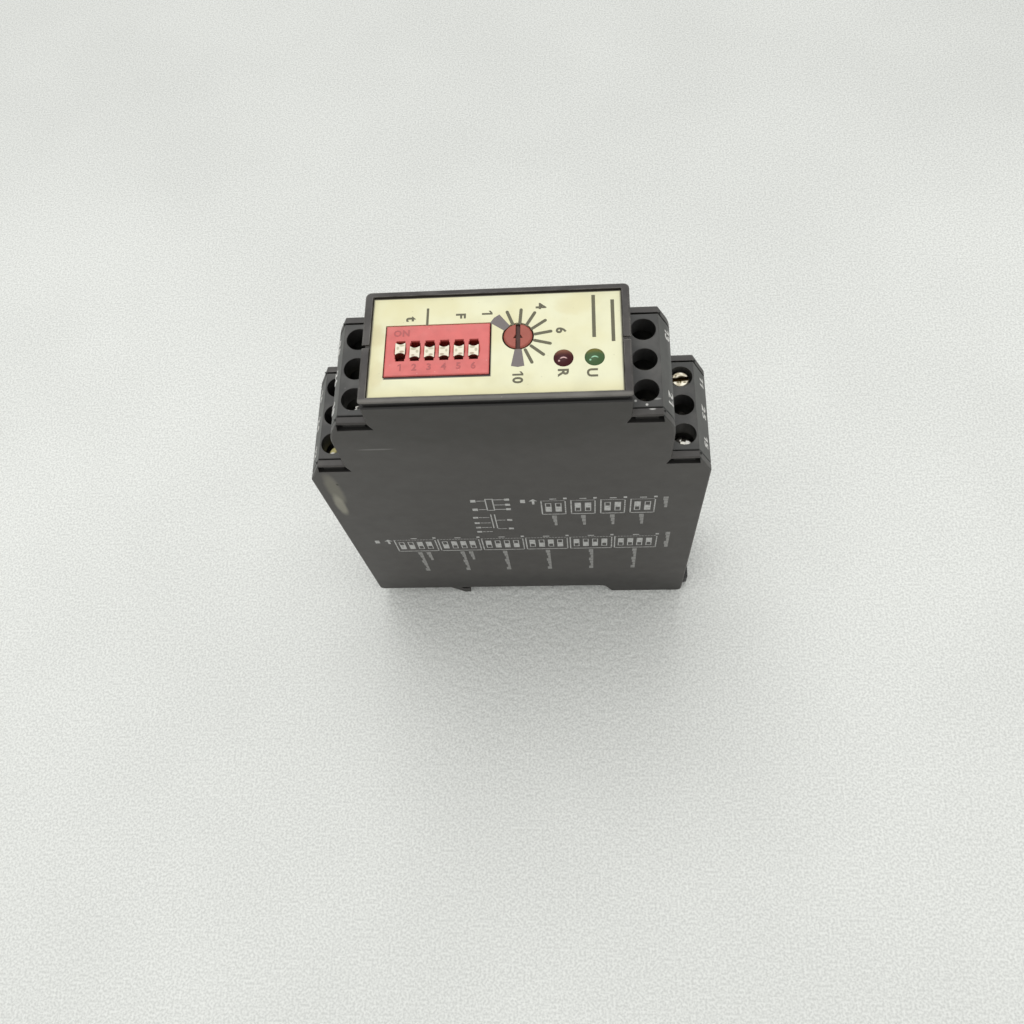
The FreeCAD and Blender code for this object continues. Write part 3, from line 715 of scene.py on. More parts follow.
@dataclass(frozen=True)
class MouldedPlastic:
    """A moulded plastic with a grained skin, soft edges, some dust, its own marks of wear and painted
    light, and painted shade in its hollows.
    """

    name: str
    colour: Colour
    rubbed: Colour
    roughness: float = 0.5
    mottle: float = 0.16
    grain: float = 0.3
    grain_depth: float = 0.012
    edge_radius: float = 0.22
    rub: float = 0.5
    dust: float = 0.25
    dust_colour: Colour = tint(176, 172, 164)
    marks: tuple[Mark, ...] = ()
    hollows: tuple[Hollow, ...] = ()

    def build(self) -> bpy.types.Material:
        """Makes the material.

        Returns:
            The material.
        """
        material, graph, shader = blank_material(self.name)
        skin = graph.place_group(
            EFFECTS.skin,
            Colour=self.colour,
            Mottle=self.mottle,
            Roughness=self.roughness,
            Grain=1.0 / (self.grain * MM),
        )
        edges = graph.place_group(
            EFFECTS.edges,
            Colour=lay_marks(graph, skin.outputs["Colour"], self.marks)[0],
            Rubbed=self.rubbed,
            Radius=self.edge_radius * MM,
            Amount=self.rub,
        )
        dust = graph.place_group(
            EFFECTS.dust, Colour=edges.outputs["Colour"], Dust=self.dust_colour, Amount=self.dust
        )
        normal = graph.bumped(skin.outputs["Height"], self.grain_depth * MM, edges.outputs["Normal"])
        graph.feed(shader.inputs["Base Color"], hollowed(graph, dust.outputs["Colour"], self.hollows))
        graph.feed(shader.inputs["Roughness"], skin.outputs["Roughness"])
        graph.feed(shader.inputs["Normal"], normal)
        return material


@dataclass(frozen=True)
class LegendFilm:
    """The cream film of the front plate, yellowed in patches, grimy along its border and with painted
    shadow lines along its far and side edges.
    """

    name: str
    colour: Colour
    yellowed: Colour
    grime_and_shadow: Colour
    node: str
    hollows: tuple[Hollow, ...] = ()
    marks: tuple[Mark, ...] = ()
    roughness: float = 0.42
    stain: float = 0.85
    border: float = 0.22
    aged: float = 3.4
    aged_share: float = 0.75
    # Widths of the painted shadow lines along the far edge and along both side edges.
    far_shadow_line: float = 0.36
    side_shadow_line: float = 0.22

    def build(self) -> bpy.types.Material:
        """Makes the material.

        Returns:
            The material.
        """
        stain_scale = 70.0
        border_scale = 320.0
        grain_scale = 2600.0
        grain_depth = 0.006
        clean, stained = 0.38, 0.7
        border_dirt, side_shadow_share = 0.6, 0.8
        speck_share = 0.16
        stained_roughness = 0.55
        material, graph, shader = blank_material(self.name)
        low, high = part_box(self.node)
        middle = (low + high) / 2
        half = (high - low) / 2
        place = graph.object_place()
        away = graph.parts(graph.vector("SUBTRACT", place, middle).outputs[0])
        shares = [
            graph.math("SUBTRACT", half[i], graph.math("ABSOLUTE", away[i])) for i in range(2)
        ]
        inside = graph.math("MINIMUM", shares[0], shares[1])
        stains = graph.ramp(graph.noise(place, stain_scale, RAGGED_OCTAVES), clean, stained)
        from_left = graph.math("ADD", away[0], half.x)
        from_near = graph.math("ADD", away[1], half.y)
        aged = graph.math("MINIMUM", from_left, from_near)
        aged = graph.ramp(aged, 0.0, self.aged * MM, self.aged_share, 0.0)
        mask = graph.math("MAXIMUM", graph.math("MULTIPLY", stains, self.stain), aged)
        colour = lay_marks(graph, graph.mix(mask, self.colour, self.yellowed), self.marks)[0]
        rag = graph.math("MULTIPLY", graph.noise(place, border_scale, RAGGED_OCTAVES), self.border * MM)
        dirt_and_shadow = graph.ramp(graph.math("SUBTRACT", inside, rag), 0.0, self.border * MM, border_dirt, 0.0)
        # Painted shadow lines under the bezel, along the far edge and both side edges.
        far = graph.math("SUBTRACT", half.y, away[1])
        line = graph.ramp(far, self.far_shadow_line * MM / 2, self.far_shadow_line * MM, 1.0, 0.0)
        side = graph.ramp(shares[0], self.side_shadow_line * MM / 2, self.side_shadow_line * MM, side_shadow_share, 0.0)
        dirt_and_shadow = graph.math("MAXIMUM", dirt_and_shadow, graph.math("MAXIMUM", line, side))
        colour = hollowed(graph, graph.mix(dirt_and_shadow, colour, self.grime_and_shadow), self.hollows)
        dusty = graph.place_group(EFFECTS.dust, Colour=colour, Dust=self.grime_and_shadow, Amount=speck_share)
        flat = graph.add("ShaderNodeNewGeometry").outputs["Normal"]
        grain = graph.noise(place, grain_scale)
        graph.feed(shader.inputs["Base Color"], dusty.outputs["Colour"])
        roughness = graph.ramp(stains, 0.0, 1.0, self.roughness, stained_roughness)
        graph.feed(shader.inputs["Roughness"], roughness)
        graph.feed(shader.inputs["Normal"], graph.bumped(grain, grain_depth * MM, flat))
        return material


@dataclass(frozen=True)
class LampResin:
    """Clear coloured resin of an unlit lamp, paler towards the far rim by painted light, with a painted
    highlight arc and speck.
    """

    name: str
    colour: Colour
    # Colour of the painted light towards the far rim.
    rim: Colour
    # Colour of the painted highlights.
    arc: Colour
    node: str
    roughness: float = 0.38
    shine: float = 0.25
    arc_radius: float = 0.7
    arc_width: float = 0.18
    arc_shift: float = -0.78
    speck: Point = (-0.75, -0.65)
    speck_radius: float = 0.26

    def build(self) -> bpy.types.Material:
        """Makes the material.

        Returns:
            The material.
        """
        swirl_scale = 900.0
        swirl = 0.3
        rim_start, rim_full = 0.25, 1.05
        rough_swirl = 0.45
        material, graph, shader = blank_material(self.name)
        low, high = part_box(self.node)
        middle = (low + high) / 2
        half = (high.y - low.y) / 2
        place = graph.object_place()
        away = graph.vector("SUBTRACT", place, middle).outputs[0]
        share = graph.math("DIVIDE", graph.parts(away)[1], half)
        wander = graph.math("MULTIPLY", graph.noise(place, swirl_scale, FINE_OCTAVES), swirl)
        far = graph.ramp(graph.math("ADD", share, wander), rim_start, rim_full)
        colour = graph.mix(far, self.colour, self.rim)
        # Painted highlights: the arc and the speck.
        bright = graph.math("MAXIMUM", self.highlight_arc(graph, away), self.highlight_speck(graph, away))
        graph.feed(shader.inputs["Base Color"], graph.mix(bright, colour, self.arc))
        roughness = graph.ramp(wander, 0.0, swirl, self.roughness, rough_swirl)
        graph.feed(shader.inputs["Roughness"], roughness)
        graph.feed(shader.inputs["Specular IOR Level"], self.shine)
        return material

    @staticmethod
    def level_way(graph: Graph, away: Feed, place: Place) -> bpy.types.NodeSocket:
        """The level way from a place of the lens to the point of the surface.

        Args:
            graph: The material's graph.
            away: The way from the lamp's middle.
            place: The place, from the lamp's middle in metres.

        Returns:
            The way, with no height.
        """
        level = (1.0, 1.0, 0.0)
        shifted = graph.vector("SUBTRACT", away, place).outputs[0]
        return graph.vector("MULTIPLY", shifted, level).outputs[0]

    def highlight_speck(self, graph: Graph, away: Feed) -> bpy.types.NodeSocket:
        """The small painted highlight beside the arc.

        Args:
            graph: The material's graph.
            away: The way from the lamp's middle.

        Returns:
            The mask.
        """
        place = (self.speck[0] * MM, self.speck[1] * MM, 0.0)
        flat = self.level_way(graph, away, place)
        distance = graph.vector("LENGTH", flat, NOWHERE).outputs[1]
        return graph.ramp(distance, 0.0, self.speck_radius * MM, 1.0, 0.0)

    def highlight_arc(self, graph: Graph, away: Feed) -> bpy.types.NodeSocket:
        """The painted highlight arc on the lens.

        Args:
            graph: The material's graph.
            away: The way from the lamp's middle.

        Returns:
            The mask.
        """
        arc_start, arc_full = 0.55, 0.9
        radius = self.arc_radius * MM
        flat = self.level_way(graph, away, (0.0, self.arc_shift * MM, 0.0))
        distance = graph.vector("LENGTH", flat, NOWHERE).outputs[1]
        off = graph.math("ABSOLUTE", graph.math("SUBTRACT", distance, radius))
        ring = graph.ramp(off, 0.0, self.arc_width * MM, 1.0, 0.0)
        upper = graph.ramp(graph.parts(flat)[1], radius * arc_start, radius * arc_full)
        return graph.math("MULTIPLY", ring, upper)


@dataclass(frozen=True)
class PlatedMetal:
    """Plated or bare metal with dull patches and fine scratches, painted shade in its hollows, and marks
    that glow as painted glints where glare is set.
    """

    name: str
    colour: Colour
    dull: Colour
    roughness: float = 0.3
    patina: float = 0.6
    scratch_depth: float = 0.004
    bare: float = 1.0
    # Glow of the marks, as painted glints.
    glare: float = 0.0
    marks: tuple[Mark, ...] = ()
    hollows: tuple[Hollow, ...] = ()

    def build(self) -> bpy.types.Material:
        """Makes the material.

        Returns:
            The material.
        """
        edge_radius = 0.12
        edge_rub = 0.35
        material, graph, shader = blank_material(self.name)
        patina = graph.place_group(
            EFFECTS.patina,
            Colour=self.colour,
            Dull=self.dull,
            Roughness=self.roughness,
            Amount=self.patina,
        )
        edges = graph.place_group(
            EFFECTS.edges,
            Colour=patina.outputs["Colour"],
            Rubbed=self.colour,
            Radius=edge_radius * MM,
            Amount=edge_rub,
        )
        normal = graph.bumped(
            patina.outputs["Height"], self.scratch_depth * MM, edges.outputs["Normal"]
        )
        colour = hollowed(graph, edges.outputs["Colour"], self.hollows)
        colour, bright = lay_marks(graph, colour, self.marks)
        # With glare, the marks glow: painted glints.
        if self.glare:
            graph.feed(shader.inputs["Emission Color"], graph.mix(bright, BLACK, colour))
            graph.feed(shader.inputs["Emission Strength"], self.glare)
        graph.feed(shader.inputs["Metallic"], self.bare)
        graph.feed(shader.inputs["Base Color"], colour)
        graph.feed(shader.inputs["Roughness"], patina.outputs["Roughness"])
        graph.feed(shader.inputs["Normal"], normal)
        return material


@dataclass(frozen=True)
class Ink:
    """A printed ink that covers a little unevenly."""

    name: str
    colour: Colour
    thin: Colour
    wear: float = 0.45
    roughness: float = 0.5

    def build(self) -> bpy.types.Material:
        """Makes the material.

        Returns:
            The material.
        """
        wear_scale = 1500.0
        full, rubbed = 0.45, 0.72
        rubbed_roughness = 0.65
        material, graph, shader = blank_material(self.name)
        patches = graph.noise(graph.object_place(), wear_scale, RAGGED_OCTAVES)
        thinned = graph.ramp(patches, full, rubbed)
        mask = graph.math("MULTIPLY", thinned, self.wear)
        graph.feed(shader.inputs["Base Color"], graph.mix(mask, self.colour, self.thin))
        roughness = graph.ramp(thinned, 0.0, 1.0, self.roughness, rubbed_roughness)
        graph.feed(shader.inputs["Roughness"], roughness)
        return material


@dataclass(frozen=True)
class BoardLaminate:
    """Green circuit board with a faint glass weave under its lacquer."""

    name: str
    colour: Colour
    weave: Colour
    roughness: float = 0.35

    def build(self) -> bpy.types.Material:
        """Makes the material.

        Returns:
            The material.
        """
        thread_scale = 900.0
        thread_roughness = 0.5
        material, graph, shader = blank_material(self.name)
        place = graph.object_place()
        bands = []
        for direction in ("X", "Z"):
            wave = graph.add("ShaderNodeTexWave", bands_direction=direction)
            graph.feed(wave.inputs["Vector"], place)
            graph.feed(wave.inputs["Scale"], thread_scale)
            bands.append(wave.outputs["Fac"])
        weave = graph.math("MULTIPLY", bands[0], bands[1])
        graph.feed(shader.inputs["Base Color"], graph.mix(weave, self.colour, self.weave))
        roughness = graph.ramp(weave, 0.0, 1.0, self.roughness, thread_roughness)
        graph.feed(shader.inputs["Roughness"], roughness)
        return material


# Wear, soiling, painted shade and painted highlights

NEAR_WALL = HOUSING_LOW.y / MM
UPPER_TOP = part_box("terminal_block_upper_right")[1].z
LOWER_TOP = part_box("terminal_block_lower_right")[1].z

SCUFF = tint(120, 117, 103)
CHIPPED = tint(214, 214, 208)
# Colours of painted shade in windows, seams, grooves and wells, and of painted light towards the wells'
# feet.
SHADE_BLACK = tint(40, 39, 37)
WELL_SHADE = tint(64, 63, 62)
WELL_FOOT_LIGHT = tint(180, 177, 172)

SLIDER_COUNT = 6
SLIDER_PITCH = 2.54
BACKED_OUT = "terminal_screw_lower_right_far"

WALL_WEAR_AND_SHADE = (
    # Painted shade: the near wall darker towards its foot and towards its top.
    Mark(
        place=spot(0.0, NEAR_WALL, 0.0),
        reach=(70.0, 3.0, 18.0),
        colour=tint(34, 32, 29),
        amount=0.75,
        ragged=0.2,
    ),
    Mark(
        place=spot(0.0, NEAR_WALL, 100.0),
        reach=(50.0, 3.0, 24.0),
        colour=tint(46, 43, 39),
        amount=0.8,
        ragged=0.2,
    ),
    Mark(
        place=spot(-35.6, NEAR_WALL, 66.0),
        reach=(1.9, 3.0, 9.0),
        colour=SCUFF,
        amount=0.6,
        ragged=0.3,
    ),
    Mark(
        place=spot(-36.2, NEAR_WALL, 58.5),
        reach=(1.35, 3.0, 6.5),
        colour=tint(146, 143, 128),
        amount=0.7,
        ragged=0.3,
    ),
    Mark(
        place=spot(-34.4, NEAR_WALL, 68.4),
        reach=(0.35, 3.0, 0.6),
        colour=tint(44, 40, 30),
        amount=0.9,
        ragged=0.2,
    ),
    Mark(
        place=spot(-23.4, NEAR_WALL, 83.1),
        reach=(4.6, 2.0, 0.34),
        colour=tint(150, 148, 144),
        amount=0.3,
        ragged=0.5,
    ),
    Mark(
        place=spot(26.6, NEAR_WALL + 1.3, UPPER_TOP / MM),
        reach=(0.7, 0.3, 0.4),
        colour=CHIPPED,
        amount=0.7,
        ragged=0.9,
    ),
)
BLOCK_MARKS = (
    Mark(
        place=spot(25.7, -9.1, UPPER_TOP / MM),
        reach=(0.3, 0.3, 0.4),
        colour=CHIPPED,
        amount=0.9,
        ragged=0.4,
    ),
    Mark(
        place=spot(23.8, -8.3, UPPER_TOP / MM),
        reach=(0.3, 0.3, 0.4),
        colour=CHIPPED,
        amount=0.7,
        ragged=0.4,
    ),
    Mark(
        place=spot(27.4, -8.0, UPPER_TOP / MM),
        reach=(0.9, 0.25, 0.4),
        colour=tint(170, 170, 164),
        amount=0.5,
        ragged=0.9,
    ),
)
PLATE_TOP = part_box("legend_plate")[1].z / MM
PLATE_MARKS = (
    Mark(
        place=spot(-20.9, 2.2, PLATE_TOP),
        reach=(2.2, 3.0, 1.0),
        colour=tint(216, 205, 158),
        amount=0.55,
        ragged=1.0,
    ),
    Mark(
        place=spot(-20.3, -5.5, PLATE_TOP),
        reach=(1.6, 3.5, 1.0),
        colour=tint(220, 210, 164),
        amount=0.5,
        ragged=1.0,
    ),
    Mark(
        place=spot(14.0, 7.5, PLATE_TOP),
        reach=(5.0, 2.4, 1.0),
        colour=tint(228, 221, 176),
        amount=0.6,
        ragged=1.0,
    ),
)
RIM_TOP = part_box("front_cap")[1].z / MM
# Painted highlight along the bezel's near top edge.
RIM_HIGHLIGHT = (
    Mark(
        place=spot(0.0, -10.95, RIM_TOP),
        reach=(60.0, 0.75, 0.5),
        colour=tint(124, 121, 114),
        amount=0.6,
        ragged=0.3,
    ),
)


def windows() -> tuple[Hollow, ...]:
    """Painted shade in the four snap windows of each wall.

    Returns:
        One paired hollow for each level.
    """
    drop = 0.28
    fade = 0.05
    upper_middle, lower_middle = 25.6, 33.35
    wall_middle = 10.4
    reach = (3.4, 0.82, 2.3)
    found = []
    for middle, top in ((upper_middle, UPPER_TOP), (lower_middle, LOWER_TOP)):
        mouth = (middle * MM, wall_middle * MM, top - drop * MM)
        found.append(Hollow(mouth, reach, SHADE_BLACK, fade, square=True, paired=True))
    return tuple(found)


def wells() -> tuple[Hollow, ...]:
    """Painted shade in the twelve screw wells, with painted light towards their feet.

    Returns:
        Two paired hollows for each level and row: painted shade from the mouth and painted light from
        the foot.
    """
    drop = 0.05
    foot_drop = 3.0
    foot_fade = 5.0
    reach = (2.3, 2.3, 20.0)
    found = []
    for level, top in (("upper", UPPER_TOP), ("lower", LOWER_TOP)):
        for row in ("far", "middle"):
            middle = middle_of(f"terminal_screw_{level}_right_{row}")
            mouth = (middle.x - MIDDLE_X, abs(middle.y), top - drop * MM)
            found.append(Hollow(mouth, reach, WELL_SHADE, paired=True))
            foot = (mouth[0], mouth[1], top - foot_drop * MM)
            found.append(Hollow(foot, reach, WELL_FOOT_LIGHT, foot_fade, paired=True))
    return tuple(found)


def seams() -> tuple[Hollow, ...]:
    """Painted shade in the seams between the blocks and the walls.

    Returns:
        One paired hollow for each level.
    """
    drop = 0.02
    fade = 0.08
    upper_middle, lower_middle = 26.0, 34.0
    block_face = 9.65
    reach = (8.0, 0.23, 7.0)
    found = []
    for middle, top in ((upper_middle, UPPER_TOP), (lower_middle, LOWER_TOP)):
        mouth = (middle * MM, block_face * MM, top - drop * MM)
        found.append(Hollow(mouth, reach, SHADE_BLACK, fade, square=True, paired=True))
    return tuple(found)


def groove(top: float, reach: Place) -> Hollow:
    """Painted shade in the shadow groove under the bezel's long sides.

    Args:
        top: Height of its upper edge, in millimetres.
        reach: Half its size each way, in millimetres.

    Returns:
        The dark place.
    """
    middle = 10.85
    fade = 0.04
    return Hollow((0.0, middle * MM, top * MM), reach, SHADE_BLACK, fade, square=True, paired=True)


def slider_ends() -> tuple[Hollow, ...]:
    """Painted light and shade on the dished ends of the sliders: pale away from the viewer as if lit and
    dark towards the viewer as if shaded.

    Returns:
        Two hollows for the first slider and two for the others together.
    """
    drop = 0.05
    fade = 0.1
    depth = 20.0
    margin = 0.1
    lit_far_end = tint(196, 178, 146)
    shaded_near_end = tint(96, 40, 30)
    found = []
    for first, last in (("dip_slider_1", "dip_slider_1"), ("dip_slider_2", "dip_slider_6")):
        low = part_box(first)[0]
        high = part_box(last)[1]
        middle = (low + high) / 2
        quarter = (high.y - low.y) / 4
        reach = ((high.x - low.x) / MM / 2 + margin, quarter / MM + margin, depth)
        for side, colour in ((1.0, lit_far_end), (-1.0, shaded_near_end)):
            mouth = (middle.x, middle.y + side * quarter, high.z - drop * MM)
            found.append(Hollow(mouth, reach, colour, fade, square=True))
    return tuple(found)


def plate_shadows() -> tuple[Hollow, ...]:
    """Painted shadow lines on the plate round the switch and the knob.

    Returns:
        One hollow for the switch and one for the knob.
    """
    lift = 0.1
    fade = 0.01
    depth = 5.0
    switch_shadow, knob_shadow = tint(34, 7, 4), tint(86, 44, 34)
    near, right, rest = 0.6, 0.44, 0.16
    lead = 0.9
    low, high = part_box("dip_switch_body")
    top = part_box("legend_plate")[1].z + lift * MM
    x = (low.x + high.x) / 2 + (right - rest) / 2 * MM
    y = (low.y + high.y) / 2 - (near - rest) / 2 * MM
    half_x = (high.x - low.x) / MM / 2 + (right + rest) / 2
    half_y = (high.y - low.y) / MM / 2 - lead + (near + rest) / 2
    switch = Hollow((x, y, top), (half_x, half_y, depth), switch_shadow, fade, square=True)
    knob = middle_of("time_knob")
    radius = (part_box("time_knob")[1].x - knob.x) / MM + rest
    ring = Hollow((knob.x, knob.y, top), (radius, radius, depth), knob_shadow, fade)
    return (switch, ring)


def sunk(node: str, drop: float, radius: float, colour: Colour) -> Hollow:
    """Painted shade on what lies below a node's upper face.

    Args:
        node: The node.
        drop: How far below the face it starts, in millimetres.
        radius: How far it reaches round the node's middle, in millimetres.
        colour: Its colour.

    Returns:
        The dark place.
    """
    depth = 20.0
    mouth = middle_of(node) - UPWARDS * drop * MM
    return Hollow(tuple(mouth), (radius, radius, depth), colour)


def glint(screw: str, x: float, y: float, reach: Place, colour: Colour, amount: float) -> Mark:
    """A painted glint on a dark screw head.

    Args:
        screw: The screw's node.
        x: Its place along the length, in millimetres.
        y: Its place across the width, in millimetres.
        reach: Half its size each way, in millimetres.
        colour: Its colour.
        amount: How much of it covers the head's own colour.

    Returns:
        The mark.
    """
    ragged = 0.3
    return Mark(spot(x, y, middle_of(screw).z / MM), reach, colour, amount, ragged)


# Colours of the painted glints.
GLINT_BRASS = tint(206, 196, 136)
GLINT_WHITE = tint(252, 250, 240)
LEFT_SCREW = "terminal_screw_lower_left_near"
RIGHT_SCREW = "terminal_screw_lower_right_near"
UPPER_SCREW = "terminal_screw_upper_left_near"
MIDDLE_SCREW = "terminal_screw_upper_left_middle"

# Painted glints on the dark screw heads.
GLINTS = (
    glint(LEFT_SCREW, x=-34.9, y=-5.6, reach=(1.3, 1.2, 0.6), colour=GLINT_BRASS, amount=0.9),
    glint(LEFT_SCREW, x=-34.75, y=-6.3, reach=(0.7, 0.4, 3.0), colour=GLINT_WHITE, amount=1.0),
    glint(RIGHT_SCREW, x=33.8, y=-5.35, reach=(0.85, 0.4, 3.0), colour=GLINT_WHITE, amount=1.0),
    glint(RIGHT_SCREW, x=34.55, y=-5.8, reach=(1.0, 0.55, 3.0), colour=GLINT_WHITE, amount=1.0),
    glint(UPPER_SCREW, x=-27.1, y=-5.3, reach=(0.6, 0.55, 3.0), colour=GLINT_WHITE, amount=0.9),
    glint(UPPER_SCREW, x=-26.6, y=-4.85, reach=(0.8, 0.4, 3.0), colour=GLINT_WHITE, amount=0.9),
    glint(MIDDLE_SCREW, x=-26.3, y=1.2, reach=(0.45, 0.35, 0.6), colour=GLINT_BRASS, amount=0.8),
)


def slider_grime() -> tuple[Mark, ...]:
    """Flecks of soiling on the tops of the sliders, mirrored on every second one.

    Returns:
        Three marks for each slider.
    """
    amount = 0.75
    ragged = 1.2
    grey, brown = tint(176, 170, 140), tint(150, 122, 92)
    flecks = (
        ((0.25, 0.62), (0.62, 0.3, 0.8), grey),
        ((-0.42, 0.1), (0.3, 0.42, 0.8), grey),
        ((0.3, -0.62), (0.5, 0.26, 0.8), brown),
    )
    found = []
    for number in range(1, SLIDER_COUNT + 1):
        hand = 1.0 if number % 2 else -1.0
        middle = middle_of(f"dip_slider_{number}")
        for (x, y), reach, colour in flecks:
            place = middle + Vector((hand * x, y, 0.0)) * MM
            found.append(Mark(tuple(place), reach, colour, amount, ragged))
    return tuple(found)


def screw_head_mark(x: float, y: float, reach: Place, colour: Colour) -> Mark:
    """A mark on the head of the backed-out screw: soiling, or a dark band by its slot.

    Args:
        x: Its place along the length from the head's middle, in millimetres.
        y: Its place across the width from the head's middle, in millimetres.
        reach: Half its size each way, in millimetres.
        colour: Its colour.

    Returns:
        The mark.
    """
    amount = 0.95
    ragged = 0.35
    place = middle_of(BACKED_OUT) + Vector((x, y, 0.0)) * MM
    return Mark(tuple(place), reach, colour, amount, ragged)


# A dark band along the backed-out screw's slot, and soiling on its head.
SLOT_DARK = tint(62, 50, 22)
HEAD_DIRT = tint(104, 94, 62)

SCREW_HEAD_MARKS = (
    screw_head_mark(x=0.35, y=0.45, reach=(1.15, 0.5, 0.6), colour=SLOT_DARK),
    screw_head_mark(x=-0.45, y=-0.66, reach=(0.42, 0.2, 0.6), colour=HEAD_DIRT),
    screw_head_mark(x=0.05, y=-0.55, reach=(0.22, 0.52, 0.6), colour=HEAD_DIRT),
    screw_head_mark(x=0.85, y=-0.68, reach=(0.44, 0.22, 0.6), colour=HEAD_DIRT),
    screw_head_mark(x=-0.8, y=0.8, reach=(0.26, 0.24, 0.6), colour=HEAD_DIRT),
)


